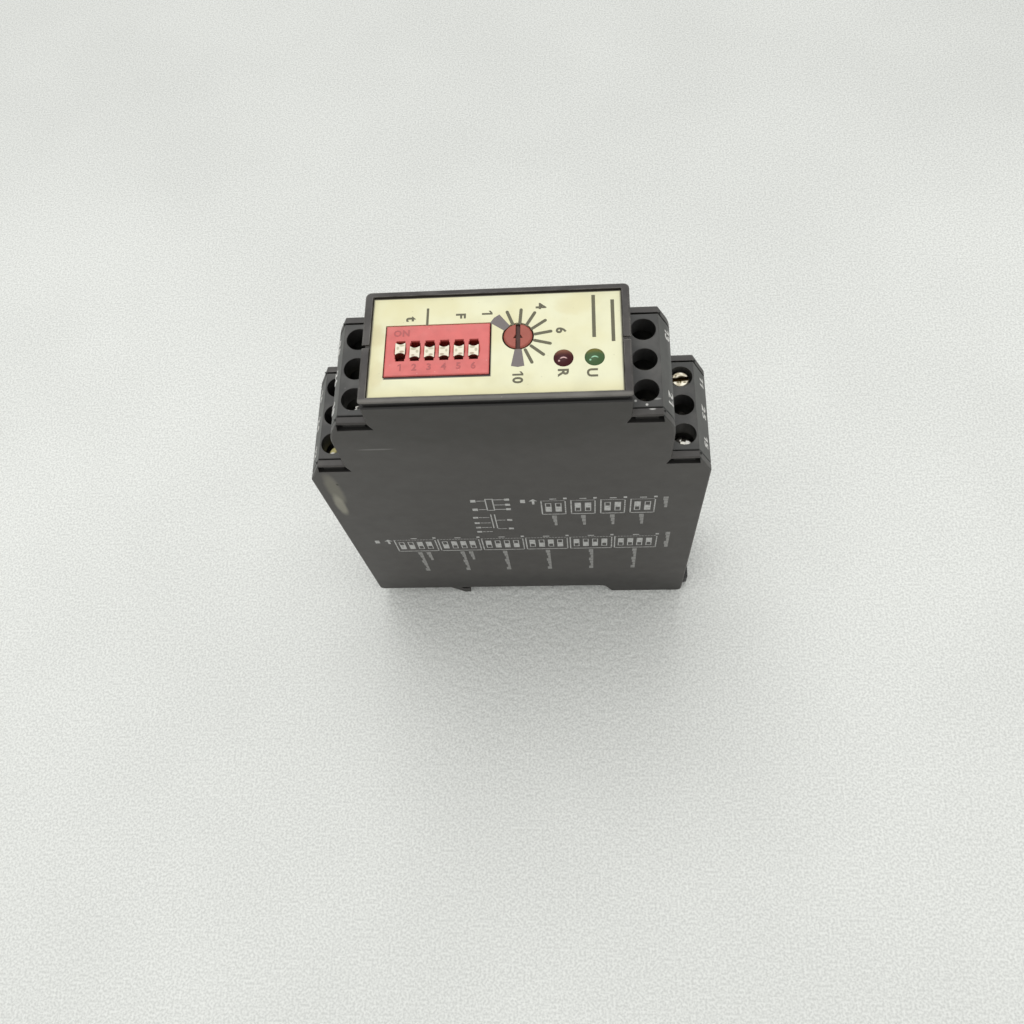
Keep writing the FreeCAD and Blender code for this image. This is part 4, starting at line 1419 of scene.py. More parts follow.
class Finish(Enum):
    """Every finish of the part."""

    # Painted shade in the snap windows, the seams and the groove under the bezel, and towards the near
    # wall's foot and top.
    HOUSING = MouldedPlastic(
        "anthracite_housing",
        colour=tint(61, 58, 55),
        rubbed=tint(120, 117, 113),
        marks=WALL_WEAR_AND_SHADE,
        hollows=(*windows(), *seams(), groove(top=98.05, reach=(23.5, 0.36, 0.4))),
    )
    # Painted highlight: its pale rubbed edges and the strip along its near rim. Painted shade in the
    # groove under the bezel.
    CAP = MouldedPlastic(
        "anthracite_cap",
        colour=tint(48, 44, 41),
        rubbed=tint(146, 142, 136),
        edge_radius=0.32,
        rub=0.75,
        marks=RIM_HIGHLIGHT,
        hollows=(groove(top=99.78, reach=(24.0, 0.5, 2.5)),),
    )
    # Painted shade in the snap windows, the screw wells and the seams, and painted light towards the
    # wells' feet.
    TERMINAL = MouldedPlastic(
        "anthracite_terminal",
        colour=tint(55, 55, 52),
        rubbed=tint(122, 122, 117),
        roughness=0.46,
        marks=BLOCK_MARKS,
        hollows=(*windows(), *wells(), *seams()),
    )
    CLIP = MouldedPlastic("black_clip", colour=tint(34, 33, 33), rubbed=tint(80, 79, 77))
    # Painted shadow lines round the switch and the knob and along the film's far and side edges.
    LEGEND = LegendFilm(
        "cream_legend_film",
        colour=tint(236, 235, 199),
        yellowed=tint(228, 221, 172),
        grime_and_shadow=tint(62, 57, 44),
        node="legend_plate",
        hollows=plate_shadows(),
        marks=PLATE_MARKS,
    )
    # Painted shade on what lies below the switch's top, as in its slots.
    SWITCH = MouldedPlastic(
        "red_switch_body",
        colour=tint(215, 104, 99),
        rubbed=tint(150, 50, 46),
        roughness=0.45,
        mottle=0.3,
        edge_radius=0.12,
        rub=0.6,
        dust=0.35,
        dust_colour=tint(232, 168, 158),
        hollows=(sunk("dip_switch_body", drop=0.28, radius=15.0, colour=tint(132, 34, 26)),),
    )
    # Painted light on the sliders' far ends and painted shade on their near ends.
    SLIDER = MouldedPlastic(
        "ivory_slider",
        colour=tint(240, 232, 208),
        rubbed=tint(248, 244, 226),
        roughness=0.4,
        mottle=0.16,
        edge_radius=0.08,
        rub=0.3,
        dust=0.25,
        dust_colour=tint(176, 156, 118),
        marks=slider_grime(),
        hollows=slider_ends(),
    )
    # Painted shade in its slot and along its rim, where its rubbed edges are darker.
    KNOB = MouldedPlastic(
        "brick_red_knob",
        colour=tint(163, 82, 67),
        rubbed=tint(104, 40, 34),
        roughness=0.55,
        mottle=0.3,
        edge_radius=0.22,
        rub=0.85,
        dust=0.3,
        dust_colour=tint(200, 136, 120),
        hollows=(sunk("time_knob", drop=0.1, radius=2.7, colour=tint(80, 44, 32)),),
    )
    POTENTIOMETER = MouldedPlastic(
        "blue_potentiometer",
        colour=tint(50, 92, 150),
        rubbed=tint(90, 126, 172),
        roughness=0.4,
    )
    # Lamps with painted light on their far rims and painted highlights.
    RED_LAMP = LampResin(
        "red_lamp_resin",
        colour=tint(62, 8, 12),
        rim=tint(138, 90, 66),
        arc=tint(240, 200, 194),
        node="red_lamp",
    )
    GREEN_LAMP = LampResin(
        "green_lamp_resin",
        colour=tint(66, 94, 56),
        rim=tint(122, 112, 44),
        arc=tint(176, 232, 194),
        node="green_lamp",
    )
    SPRING = PlatedMetal("bare_spring_steel", colour=tint(186, 184, 180), dull=tint(120, 112, 104))
    # Dark screw heads whose marks are painted glints that glow.
    DARK_SCREW = PlatedMetal(
        "dark_screw",
        colour=tint(84, 80, 72),
        dull=tint(58, 54, 47),
        roughness=0.45,
        patina=0.9,
        bare=0.1,
        glare=0.5,
        marks=GLINTS,
    )
    # Painted shade in the slot of the backed-out screw.
    OUT_SCREW = PlatedMetal(
        "backed_out_screw",
        colour=tint(240, 234, 216),
        dull=tint(178, 160, 116),
        roughness=0.5,
        patina=0.5,
        marks=SCREW_HEAD_MARKS,
        hollows=(sunk(BACKED_OUT, drop=0.12, radius=1.78, colour=tint(84, 64, 32)),),
    )
    CLAMP = PlatedMetal(
        "plated_clamp", colour=tint(190, 184, 170), dull=tint(128, 120, 104), roughness=0.36
    )
    BAR = PlatedMetal(
        "bare_brass_bar", colour=tint(222, 190, 124), dull=tint(150, 112, 62), roughness=0.32
    )
    BOARD = BoardLaminate("green_board", colour=tint(28, 88, 48), weave=tint(46, 112, 66))
    RELAY = MouldedPlastic(
        "blue_relay_case", colour=tint(40, 76, 120), rubbed=tint(84, 116, 152), roughness=0.35
    )
    FILM_CAPACITOR = MouldedPlastic(
        "ochre_capacitor", colour=tint(186, 150, 66), rubbed=tint(206, 178, 108), roughness=0.45
    )
    CAN = PlatedMetal("drawn_can", colour=tint(196, 198, 202), dull=tint(140, 142, 146), roughness=0.34)
    CHIP = MouldedPlastic("black_chip", colour=tint(36, 36, 38), rubbed=tint(70, 70, 72), roughness=0.55)
    OLIVE_INK = Ink("olive_ink", colour=tint(94, 91, 68), thin=tint(128, 124, 94), wear=0.35)
    GREY_INK = Ink("grey_ink", colour=tint(114, 106, 104), thin=tint(136, 128, 122))
    WHITE_INK = Ink("white_ink", colour=tint(214, 213, 208), thin=tint(120, 117, 113))
    WALL_INK = Ink("pale_wall_ink", colour=tint(182, 182, 179), thin=tint(112, 109, 106), wear=0.6)
    BAR_INK = Ink("grey_wall_ink", colour=tint(142, 141, 138), thin=tint(104, 102, 99), wear=0.6)
    SWITCH_INK = Ink("faint_switch_ink", colour=tint(176, 88, 86), thin=tint(208, 104, 101))

    def material(self) -> bpy.types.Material:
        """The finish's material, made the first time it is asked for."""
        return bpy.data.materials.get(self.value.name) or self.value.build()


def dress(finish: Finish, *nodes: str) -> None:
    """Gives CAD nodes a finish.

    Args:
        finish: The finish.
        *nodes: Names of the nodes.
    """
    for name in nodes:
        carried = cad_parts[name]
        if not carried.material_slots:
            carried.data.materials.append(finish.material())
        for slot in carried.material_slots:
            slot.material = finish.material()
        LOG.info("dressed %s in %s", name, finish.value.name)


# Print


@dataclass(frozen=True)
class Glyph:
    """One bold digit or letter, one unit high and centred."""

    faces: tuple[tuple[Point, ...], ...]
    width: float


def flagged_one() -> Glyph:
    """The digit one with its slanting flag.

    Returns:
        The glyph.
    """
    half = 0.5
    stem = 0.19
    flag = 0.24
    top, bottom = 0.32, 0.14
    right = (stem + flag) / 2
    left = right - stem
    upright = ((left, -half), (right, -half), (right, half), (left, half))
    slant = ((left, half), (left - flag, top), (left - flag, bottom), (left, half - stem))
    return Glyph((upright, slant), stem + flag)


def glyph_of(letter: str) -> Glyph:
    """The outline of one digit or letter.

    Args:
        letter: The digit or letter.

    Returns:
        The glyph.
    """
    curve_steps = 3
    weight = 0.032
    if letter == "1":
        return flagged_one()
    curve = bpy.data.curves.new("glyph", "FONT")
    curve.body = letter
    curve.resolution_u = curve_steps
    curve.offset = weight
    holder = bpy.data.objects.new("glyph", curve)
    mesh = bpy.data.meshes.new_from_object(holder)
    corners = [vertex.co.copy() for vertex in mesh.vertices]
    low_x = min(corner.x for corner in corners)
    high_x = max(corner.x for corner in corners)
    low_y = min(corner.y for corner in corners)
    high_y = max(corner.y for corner in corners)
    tall = high_y - low_y
    middle = ((low_x + high_x) / 2, (low_y + high_y) / 2)
    placed = [((c.x - middle[0]) / tall, (c.y - middle[1]) / tall) for c in corners]
    faces = tuple(tuple(placed[i] for i in polygon.vertices) for polygon in mesh.polygons)
    bpy.data.objects.remove(holder)
    bpy.data.curves.remove(curve)
    bpy.data.meshes.remove(mesh)
    return Glyph(faces, (high_x - low_x) / tall)


@dataclass
class PrintSheet:
    """A flat face that takes print, and the mesh of one ink on it."""

    name: str
    origin: Vector
    across: Vector
    up: Vector
    thickness: float = 0.025
    ink: bmesh.types.BMesh = field(default_factory=bmesh.new)

    def patch(self, corners: Iterable[Point]) -> None:
        """Prints one filled outline.

        Args:
            corners: Its corners in millimetres, anticlockwise.
        """
        lift = self.across.cross(self.up) * self.thickness
        points = [self.origin + (self.across * x + self.up * y + lift) * MM for x, y in corners]
        self.ink.faces.new([self.ink.verts.new(point) for point in points])

    def rectangle(self, x0: float, y0: float, x1: float, y1: float) -> None:
        """Prints a filled rectangle.

        Args:
            x0: Left side.
            y0: Lower side.
            x1: Right side.
            y1: Upper side.
        """
        self.patch([(x0, y0), (x1, y0), (x1, y1), (x0, y1)])

    def line(self, start: Point, end: Point, width: float, round_ends: bool = False) -> None:
        """Prints a straight line.

        Args:
            start: Where it starts.
            end: Where it ends.
            width: Its width.
            round_ends: True for half-round ends.
        """
        round_steps = 6
        steps = round_steps if round_ends else 1
        run = Vector((end[0] - start[0], end[1] - start[1]))
        heading = math.atan2(run.y, run.x)
        reach = width / 2 if round_ends else width / 2 * math.sqrt(2)
        corners = []
        for base, turn in ((end, 0.0), (start, math.pi)):
            spread = math.pi / 2 if round_ends else math.pi / 4
            for i in range(steps + 1):
                angle = heading + turn - spread + 2 * spread * i / steps
                corners.append((base[0] + reach * math.cos(angle), base[1] + reach * math.sin(angle)))
        self.patch(corners)

    def dashes(self, start: Point, end: Point, width: float, count: int) -> None:
        """Prints a dashed line.

        Args:
            start: Where it starts.
            end: Where it ends.
            width: Its width.
            count: How many dashes.
        """
        share = 0.55
        run_x = end[0] - start[0]
        run_y = end[1] - start[1]
        for i in range(count):
            ends = []
            for k in (i, i + share):
                part = k / count
                ends.append((start[0] + run_x * part, start[1] + run_y * part))
            self.line(ends[0], ends[1], width)

    def border(self, x0: float, y0: float, x1: float, y1: float, width: float) -> None:
        """Prints the outline of a rectangle.

        Args:
            x0: Left side.
            y0: Lower side.
            x1: Right side.
            y1: Upper side.
            width: Width of its lines, inside the rectangle.
        """
        self.rectangle(x0, y0, x1, y0 + width)
        self.rectangle(x0, y1 - width, x1, y1)
        self.rectangle(x0, y0 + width, x0 + width, y1 - width)
        self.rectangle(x1 - width, y0 + width, x1, y1 - width)

    def text(self, words: str, x: float, y: float, height: float, turn: float = 0.0) -> None:
        """Prints a number or a short generic mark.

        Args:
            words: What is printed.
            x: Its middle along the sheet.
            y: Its middle up the sheet.
            height: Height of its digits.
            turn: Its turn in degrees, anticlockwise.
        """
        gap = 0.16
        angle = math.radians(turn)
        wide = math.cos(angle) * height
        lean = math.sin(angle) * height
        glyphs = [glyph_of(letter) for letter in words]
        start = -(sum(glyph.width for glyph in glyphs) + gap * (len(glyphs) - 1)) / 2
        for glyph in glyphs:
            middle = start + glyph.width / 2
            for face in glyph.faces:
                along = [(u + middle, v) for u, v in face]
                self.patch([(x + u * wide - v * lean, y + u * lean + v * wide) for u, v in along])
            start += glyph.width + gap

    def finish(self, finish: Finish, slot: str, body: str = MODULE) -> bpy.types.Object:
        """Turns the print into a thin piece that rides on a body.

        Args:
            finish: The ink.
            slot: The record's material slot under it; not used.
            body: The body it rides on.

        Returns:
            The piece.
        """
        bmesh.ops.recalc_face_normals(self.ink, faces=self.ink.faces)
        outward = self.across.cross(self.up)
        for face in self.ink.faces:
            if face.normal.dot(outward) < 0.0:
                face.normal_flip()
        bmesh.ops.solidify(self.ink, geom=self.ink.faces[:], thickness=self.thickness * MM)
        return make_piece(self.name, self.ink, finish, body)


def make_piece(
    name: str, shape: bmesh.types.BMesh, finish: Finish, body: str
) -> bpy.types.Object:
    """Turns a mesh into a piece that rides on a body.

    Args:
        name: The piece's name.
        shape: Its mesh, in the frame.
        finish: Its finish.
        body: The body it rides on.

    Returns:
        The piece.
    """
    mesh = bpy.data.meshes.new(name)
    shape.to_mesh(mesh)
    shape.free()
    piece = bpy.data.objects.new(name, mesh)
    bpy.context.scene.collection.objects.link(piece)
    mesh.materials.append(finish.material())
    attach(piece, body)
    LOG.info("built %s, %d faces", name, len(mesh.polygons))
    return piece


# Sub-assemblies


class Nub(Enum):
    """Which half of a switch symbol is filled."""

    HIGH = 1
    LOW = 0


@dataclass
class SwitchTable:
    """A row of printed switch symbols in boxes on the near wall."""

    start: float
    pitch: float
    width: float
    top: float
    settings: tuple[tuple[Nub, ...], ...]
    tall: float = 6.9
    line: float = 0.26
    symbol_width: float = 1.3
    symbol_tall: float = 4.3
    symbol_drop: float = 1.25
    symbol_start: float = 0.75
    symbol_pitch: float = 2.1

    def print_on(self, sheet: PrintSheet) -> None:
        """Prints every box with its symbols.

        Args:
            sheet: The near wall.
        """
        tick = 0.7
        bar_tall = 0.35
        dash_count = 7
        for number, setting in enumerate(self.settings):
            left = self.start + self.pitch * number
            right = left + self.width
            bottom = self.top - self.tall
            sheet.line((left, bottom), (left, self.top), self.line)
            sheet.line((left, bottom), (right, bottom), self.line)
            sheet.dashes((right, bottom), (right, self.top), self.line, dash_count)
            sheet.dashes((left, self.top), (right, self.top), self.line / 2, 2 * dash_count)
            middle = (left + right) / 2
            above = self.top + tick
            sheet.rectangle(right - tick / 2, above, right + tick / 2, above + tick)
            sheet.rectangle(middle - tick, above, middle + tick, above + bar_tall)
            for place, nub in enumerate(setting):
                self.symbol(sheet, left + self.symbol_start + self.symbol_pitch * place, nub)

    def symbol(self, sheet: PrintSheet, left: float, nub: Nub) -> None:
        """Prints one switch symbol: an outlined slot with a filled half.

        Args:
            sheet: The near wall.
            left: Its left side.
            nub: The filled half.
        """
        fill = 0.58
        edge_share = 0.75
        high = self.top - self.symbol_drop
        low = high - self.symbol_tall
        right = left + self.symbol_width
        half = self.symbol_tall * fill
        edge = self.line * edge_share
        sheet.border(left, low, right, high, edge)
        if nub is Nub.HIGH:
            sheet.rectangle(left + edge, high - half, right - edge, high - edge)
        else:
            sheet.rectangle(left + edge, low + edge, right - edge, low + half)


@dataclass(frozen=True)
class LeadRow:
    """Printed level lines of the wiring symbol, each with a small block beyond its outer end."""

    heights: tuple[float, ...]
    line_span: Point
    block_span: Point
    block_half: float
    dash_count: int = 0

    def print_on(self, sheet: PrintSheet, width: float) -> None:
        """Prints the lines and their blocks.

        Args:
            sheet: The near wall.
            width: Width of the lines.
        """
        start, end = self.line_span
        left, right = self.block_span
        for height in self.heights:
            if self.dash_count:
                sheet.dashes((start, height), (end, height), width, self.dash_count)
            else:
                sheet.line((start, height), (end, height), width)
            sheet.rectangle(left, height - self.block_half, right, height + self.block_half)


@dataclass
class Housing:
    """The moulded shell and the print on its near wall."""

    upper_table: SwitchTable = field(
        default_factory=lambda: SwitchTable(
            start=5.7,
            pitch=6.15,
            width=4.95,
            top=58.3,
            settings=(
                (Nub.LOW, Nub.LOW),
                (Nub.HIGH, Nub.HIGH),
                (Nub.LOW, Nub.HIGH),
                (Nub.HIGH, Nub.LOW),
            ),
        )
    )
    lower_table: SwitchTable = field(
        default_factory=lambda: SwitchTable(
            start=-28.9,
            pitch=10.03,
            width=9.35,
            top=38.1,
            settings=(
                (Nub.LOW, Nub.LOW, Nub.HIGH, Nub.HIGH),
                (Nub.LOW, Nub.HIGH, Nub.HIGH, Nub.HIGH),
                (Nub.HIGH, Nub.LOW, Nub.LOW, Nub.LOW),
                (Nub.HIGH, Nub.LOW, Nub.HIGH, Nub.LOW),
                (Nub.HIGH, Nub.LOW, Nub.LOW, Nub.HIGH),
                (Nub.HIGH, Nub.HIGH, Nub.HIGH, Nub.HIGH),
            ),
        )
    )
    bar_width: float = 1.0
    bar_block: float = 1.7
    bar_gap: float = 0.14
    hairline: float = 0.24
    coil_box: tuple[float, ...] = (-5.9, 54.0, -4.15, 59.9)
    coil_leads: tuple[LeadRow, ...] = (
        LeadRow((58.95, 54.55), line_span=(-7.5, -5.9), block_span=(-8.9, -7.8), block_half=0.6),
        LeadRow((59.4, 56.8, 54.5), line_span=(-4.1, -1.95), block_span=(-1.8, -0.8), block_half=0.5),
    )
    contact_bars: Point = (-5.35, -4.55)
    contact_span: Point = (44.4, 51.8)
    contact_leads: tuple[LeadRow, ...] = (
        LeadRow(
            (50.3, 47.3, 44.75, 42.3),
            line_span=(-7.9, -5.6),
            block_span=(-9.3, -8.2),
            block_half=0.4,
            dash_count=3,
        ),
        LeadRow(
            (48.7, 43.9),
            line_span=(-4.4, -2.3),
            block_span=(-2.1, -1.0),
            block_half=0.45,
            dash_count=3,
        ),
    )
    upper_window: float = 25.4
    lower_window: float = 33.2
    # Size and place of the thin sheets of painted shade in the snap windows.
    shade_sheet_length: float = 7.2
    shade_sheet_height: float = 2.2
    shade_sheet_thick: float = 0.2
    shade_sheet_drop: float = 1.4
    shade_sheet_from_middle: float = 10.05

    def stand_shade_sheets(self) -> None:
        """Stands a thin dark sheet of painted shade in each snap window, round the latch of its block.
        """
        edge = 0.04
        edge_steps = 2
        size = (self.shade_sheet_length, self.shade_sheet_thick, self.shade_sheet_height)
        shape = bmesh.new()
        for x, top in ((self.upper_window, UPPER_TOP), (self.lower_window, LOWER_TOP)):
            for along in (-x, x):
                for across in (-self.shade_sheet_from_middle, self.shade_sheet_from_middle):
                    place = Vector(spot(along, across, top / MM - self.shade_sheet_drop))
                    shift = Matrix.Translation(place) @ Matrix.Diagonal((*(s * MM for s in size), 1.0))
                    bmesh.ops.create_cube(shape, size=1.0, matrix=shift)
        bmesh.ops.bevel(
            shape, geom=shape.edges[:], offset=edge * MM, segments=edge_steps, affect="EDGES"
        )
        make_piece("window_shade_sheets", shape, Finish.TERMINAL, MODULE)

    def build(self) -> None:
        """Stands sheets of painted shade in the windows and prints the near wall."""
        self.stand_shade_sheets()
        sheet = PrintSheet(
            "wall_print", Vector((MIDDLE_X, HOUSING_LOW.y, 0.0)), ALONG.copy(), UPWARDS.copy()
        )
        self.upper_table.print_on(sheet)
        self.lower_table.print_on(sheet)
        self.print_diagram(sheet)
        self.print_arrows(sheet)
        sheet.finish(Finish.WALL_INK, "housing_plastic")
        bars = PrintSheet(
            "wall_bars", Vector((MIDDLE_X, HOUSING_LOW.y, 0.0)), ALONG.copy(), UPWARDS.copy()
        )
        self.print_bars(bars)
        bars.finish(Finish.BAR_INK, "housing_plastic")

    def dress(self) -> None:
        """Gives the shell its finish."""
        dress(Finish.HOUSING, "housing_shell")

    def print_bars(self, sheet: PrintSheet) -> None:
        """Prints the upright bars under and beside the switch tables.

        Args:
            sheet: The near wall.
        """
        upper = self.upper_table
        upper_high, upper_low = 50.6, 44.2
        lower = self.lower_table
        lower_high, lower_low = 30.4, 17.4
        doubled = 2
        doubled_low = 24.0
        beside = ((31.2, 59.2, 52.4), (32.9, 40.2, 29.6))
        for number in range(len(upper.settings)):
            middle = upper.start + upper.pitch * number + upper.width / 2
            self.broken_bar(sheet, middle, upper_high, upper_low)
        for number in range(len(lower.settings)):
            middle = lower.start + lower.pitch * number + lower.width / 2
            self.broken_bar(sheet, middle, lower_high, lower_low)
            if number < doubled:
                self.broken_bar(sheet, middle + 2 * self.bar_width, lower_high, doubled_low)
        for middle, high, low in beside:
            self.broken_bar(sheet, middle, high, low)

    def broken_bar(self, sheet: PrintSheet, middle: float, high: float, low: float) -> None:
        """Prints an upright bar of short blocks.

        Args:
            sheet: The near wall.
            middle: Its middle along the wall.
            high: Its upper end.
            low: Its lower end.
        """
        inset_step = 0.2
        inset_kinds = 3
        step = self.bar_block + self.bar_gap
        count = int((high - low) / step)
        for i in range(count):
            top = high - i * step
            inset = inset_step * (i % inset_kinds)
            sheet.rectangle(
                middle - self.bar_width / 2 + inset,
                top - self.bar_block,
                middle + self.bar_width / 2,
                top,
            )

    def print_diagram(self, sheet: PrintSheet) -> None:
        """Prints the plain wiring symbol: a coil box and two rows of contact lines.

        Args:
            sheet: The near wall.
        """
        sheet.border(*self.coil_box, self.hairline)
        for row in self.coil_leads:
            row.print_on(sheet, self.hairline)
        low, high = self.contact_span
        for along in self.contact_bars:
            sheet.line((along, low), (along, high), self.hairline)
        for row in self.contact_leads:
            row.print_on(sheet, self.hairline)

    def print_arrows(self, sheet: PrintSheet) -> None:
        """Prints the small pointers at the left of the switch tables.

        Args:
            sheet: The near wall.
        """
        stem = 0.5
        tall = 2.6
        head_half, head_tall = 0.9, 1.0
        block_half, block_tall = 0.5, 1.6
        pointers = ((4.05, 59.3), (-30.3, 38.6))
        blocks = ((1.9, 59.1), (-32.9, 38.1))
        for along, high in pointers:
            neck = high - head_tall
            sheet.patch([(along - head_half, neck), (along + head_half, neck), (along, high)])
            sheet.rectangle(along - stem / 2, high - tall, along + stem / 2, neck)
        for along, high in blocks:
            sheet.rectangle(along - block_half, high - block_tall, along + block_half, high)


@dataclass(frozen=True)
class Label:
    """A printed number or letter, its middle on the sheet and its height."""

    words: str
    x: float
    y: float
    height: float


@dataclass
class FrontPanel:
    """The cap with its legend plate, switch, knob and lamps."""

    dial_shift: Point = (0.1, -0.22)
    tick_inner: float = 2.85
    tick_outer: float = 5.62
    tick_width: float = 0.56
    tick_count: int = 8
    first_angle: float = 136.4
    last_angle: float = -91.0
    wedge_inner: Point = (2.85, 2.5)
    wedge_outer: float = 5.85
    wedge_spread: float = 11.2
    wedge_flare: float = 1.25
    wedge_bulge: float = 1.02
    label_turn: float = -90.0
    labels: tuple[Label, ...] = (
        Label("1", -1.5, 6.35, height=1.85),
        Label("4", 7.85, 7.35, height=1.85),
        Label("6", 11.3, 2.2, height=1.85),
        Label("10", 3.95, -6.9, height=1.85),
        Label("t", -14.85, 5.6, height=1.75),
        Label("F", -6.1, 5.85, height=1.75),
        Label("R", 11.6, -6.3, height=1.85),
        Label("U", 16.45, -6.4, height=1.85),
    )
    divider: tuple[Point, Point] = ((-11.95, 4.2), (-11.95, 7.5))
    divider_width: float = 0.42
    rules: tuple[Place, ...] = ((16.9, 0.6, 9.25), (20.15, -0.35, 8.15))
    rule_width: float = 0.62
    switch_first: Label = Label("1", -16.35, -4.3, height=1.35)
    switch_on: Label = Label("ON", -16.3, 2.6, height=1.3)

    def build(self) -> None:
        """Prints the legend plate and the switch."""
        self.print_legend()
        self.print_wedges()
        self.print_switch()

    def dress(self) -> None:
        """Gives the front's nodes their finishes."""
        dress(Finish.CAP, "front_cap")
        dress(Finish.LEGEND, "legend_plate")
        dress(Finish.SWITCH, "dip_switch_body")
        dress(Finish.SLIDER, *[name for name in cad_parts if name.startswith("dip_slider")])
        dress(Finish.KNOB, "time_knob")
        dress(Finish.POTENTIOMETER, "potentiometer_body")
        dress(Finish.RED_LAMP, "red_lamp")
        dress(Finish.GREEN_LAMP, "green_lamp")

    def sheet(self, name: str, node: str) -> PrintSheet:
        """The upper face of a node, as a sheet for print.

        Args:
            name: The sheet's name.
            node: The node.

        Returns:
            The sheet.
        """
        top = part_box(node)[1].z
        return PrintSheet(name, Vector((MIDDLE_X, 0.0, top)), ALONG.copy(), ACROSS.copy())

    def on_dial(self, angle: float, radius: float) -> Point:
        """A point of the dial.

        Args:
            angle: Its angle in degrees, anticlockwise from the length.
            radius: Its distance from the knob's middle.

        Returns:
            The point on the plate.
        """
        turned = math.radians(angle)
        middle = middle_of("time_knob")
        x = (middle.x - MIDDLE_X) / MM + self.dial_shift[0]
        y = middle.y / MM + self.dial_shift[1]
        return (x + radius * math.cos(turned), y + radius * math.sin(turned))

    def print_legend(self) -> None:
        """Prints the dial's ticks and numbers and the plain marks round it."""
        sheet = self.sheet("legend_print", "legend_plate")
        step = (self.last_angle - self.first_angle) / (self.tick_count + 1)
        for i in range(1, self.tick_count + 1):
            angle = self.first_angle + step * i
            sheet.line(
                self.on_dial(angle, self.tick_inner),
                self.on_dial(angle, self.tick_outer),
                self.tick_width,
                True,
            )
        for label in self.labels:
            sheet.text(label.words, label.x, label.y, label.height, self.label_turn)
        sheet.line(*self.divider, self.divider_width)
        for along, low, high in self.rules:
            sheet.rectangle(along - self.rule_width / 2, low, along + self.rule_width / 2, high)
        sheet.finish(Finish.OLIVE_INK, "legend_cream")

    def print_wedges(self) -> None:
        """Prints the two grey wedges at the ends of the dial."""
        sheet = self.sheet("dial_wedges", "legend_plate")
        for angle, inner in zip((self.first_angle, self.last_angle), self.wedge_inner):
            sheet.patch(
                [
                    self.on_dial(angle - self.wedge_spread * self.wedge_flare, inner),
                    self.on_dial(angle - self.wedge_spread, self.wedge_outer),
                    self.on_dial(angle, self.wedge_outer * self.wedge_bulge),
                    self.on_dial(angle + self.wedge_spread, self.wedge_outer),
                    self.on_dial(angle + self.wedge_spread * self.wedge_flare, inner),
                ]
            )
        sheet.finish(Finish.GREY_INK, "legend_cream")

    def print_switch(self) -> None:
        """Prints the faint numbers of the switch."""
        sheet = self.sheet("switch_print", "dip_switch_body")
        first = self.switch_first
        for i in range(SLIDER_COUNT):
            sheet.text(str(i + 1), first.x + SLIDER_PITCH * i, first.y, first.height)
        sheet.text(self.switch_on.words, self.switch_on.x, self.switch_on.y, self.switch_on.height)
        sheet.finish(Finish.SWITCH_INK, "switch_red")


class Side(Enum):
    """The two ends of the module, as a sign along the length."""

    LEFT = -1.0
    RIGHT = 1.0


@dataclass
class TerminalRow:
    """One terminal block with its screws, clamps and bars, and the numbers on its bevel."""

    level: str
    side: Side
    flat_end: float
    bevel_end: float
    bevel_drop: float
    numbers: tuple[tuple[str, float], ...]
    digit_height: float = 2.0
    down_share: float = 0.68
    backed_out: str = BACKED_OUT

    @property
    def label(self) -> str:
        """The level and end, as node names have them."""
        return f"{self.level}_{self.side.name.lower()}"

    def build(self) -> None:
        """Prints the numbers on the bevel."""
        sign = self.side.value
        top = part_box(f"terminal_block_{self.label}")[1].z
        run = Vector((sign * (self.bevel_end - self.flat_end), 0.0, -self.bevel_drop))
        down = run.normalized()
        edge = Vector((MIDDLE_X + sign * self.flat_end * MM, 0.0, top))
        sheet = PrintSheet(
            f"terminal_numbers_{self.label}",
            edge + run * MM * self.down_share,
            -ACROSS,
            down * sign,
        )
        for number, y in self.numbers:
            sheet.text(number, -y, 0.0, self.digit_height)
        sheet.finish(Finish.WHITE_INK, "terminal_plastic")

    def dress(self) -> None:
        """Gives the block and its metal their finishes."""
        dress(Finish.TERMINAL, f"terminal_block_{self.label}")
        dress(Finish.BAR, f"contact_bars_{self.label}")
        for row in ("far", "middle", "near"):
            screw = f"terminal_screw_{self.label}_{row}"
            dress(Finish.OUT_SCREW if screw == self.backed_out else Finish.DARK_SCREW, screw)
            dress(Finish.CLAMP, f"clamp_plate_{self.label}_{row}")


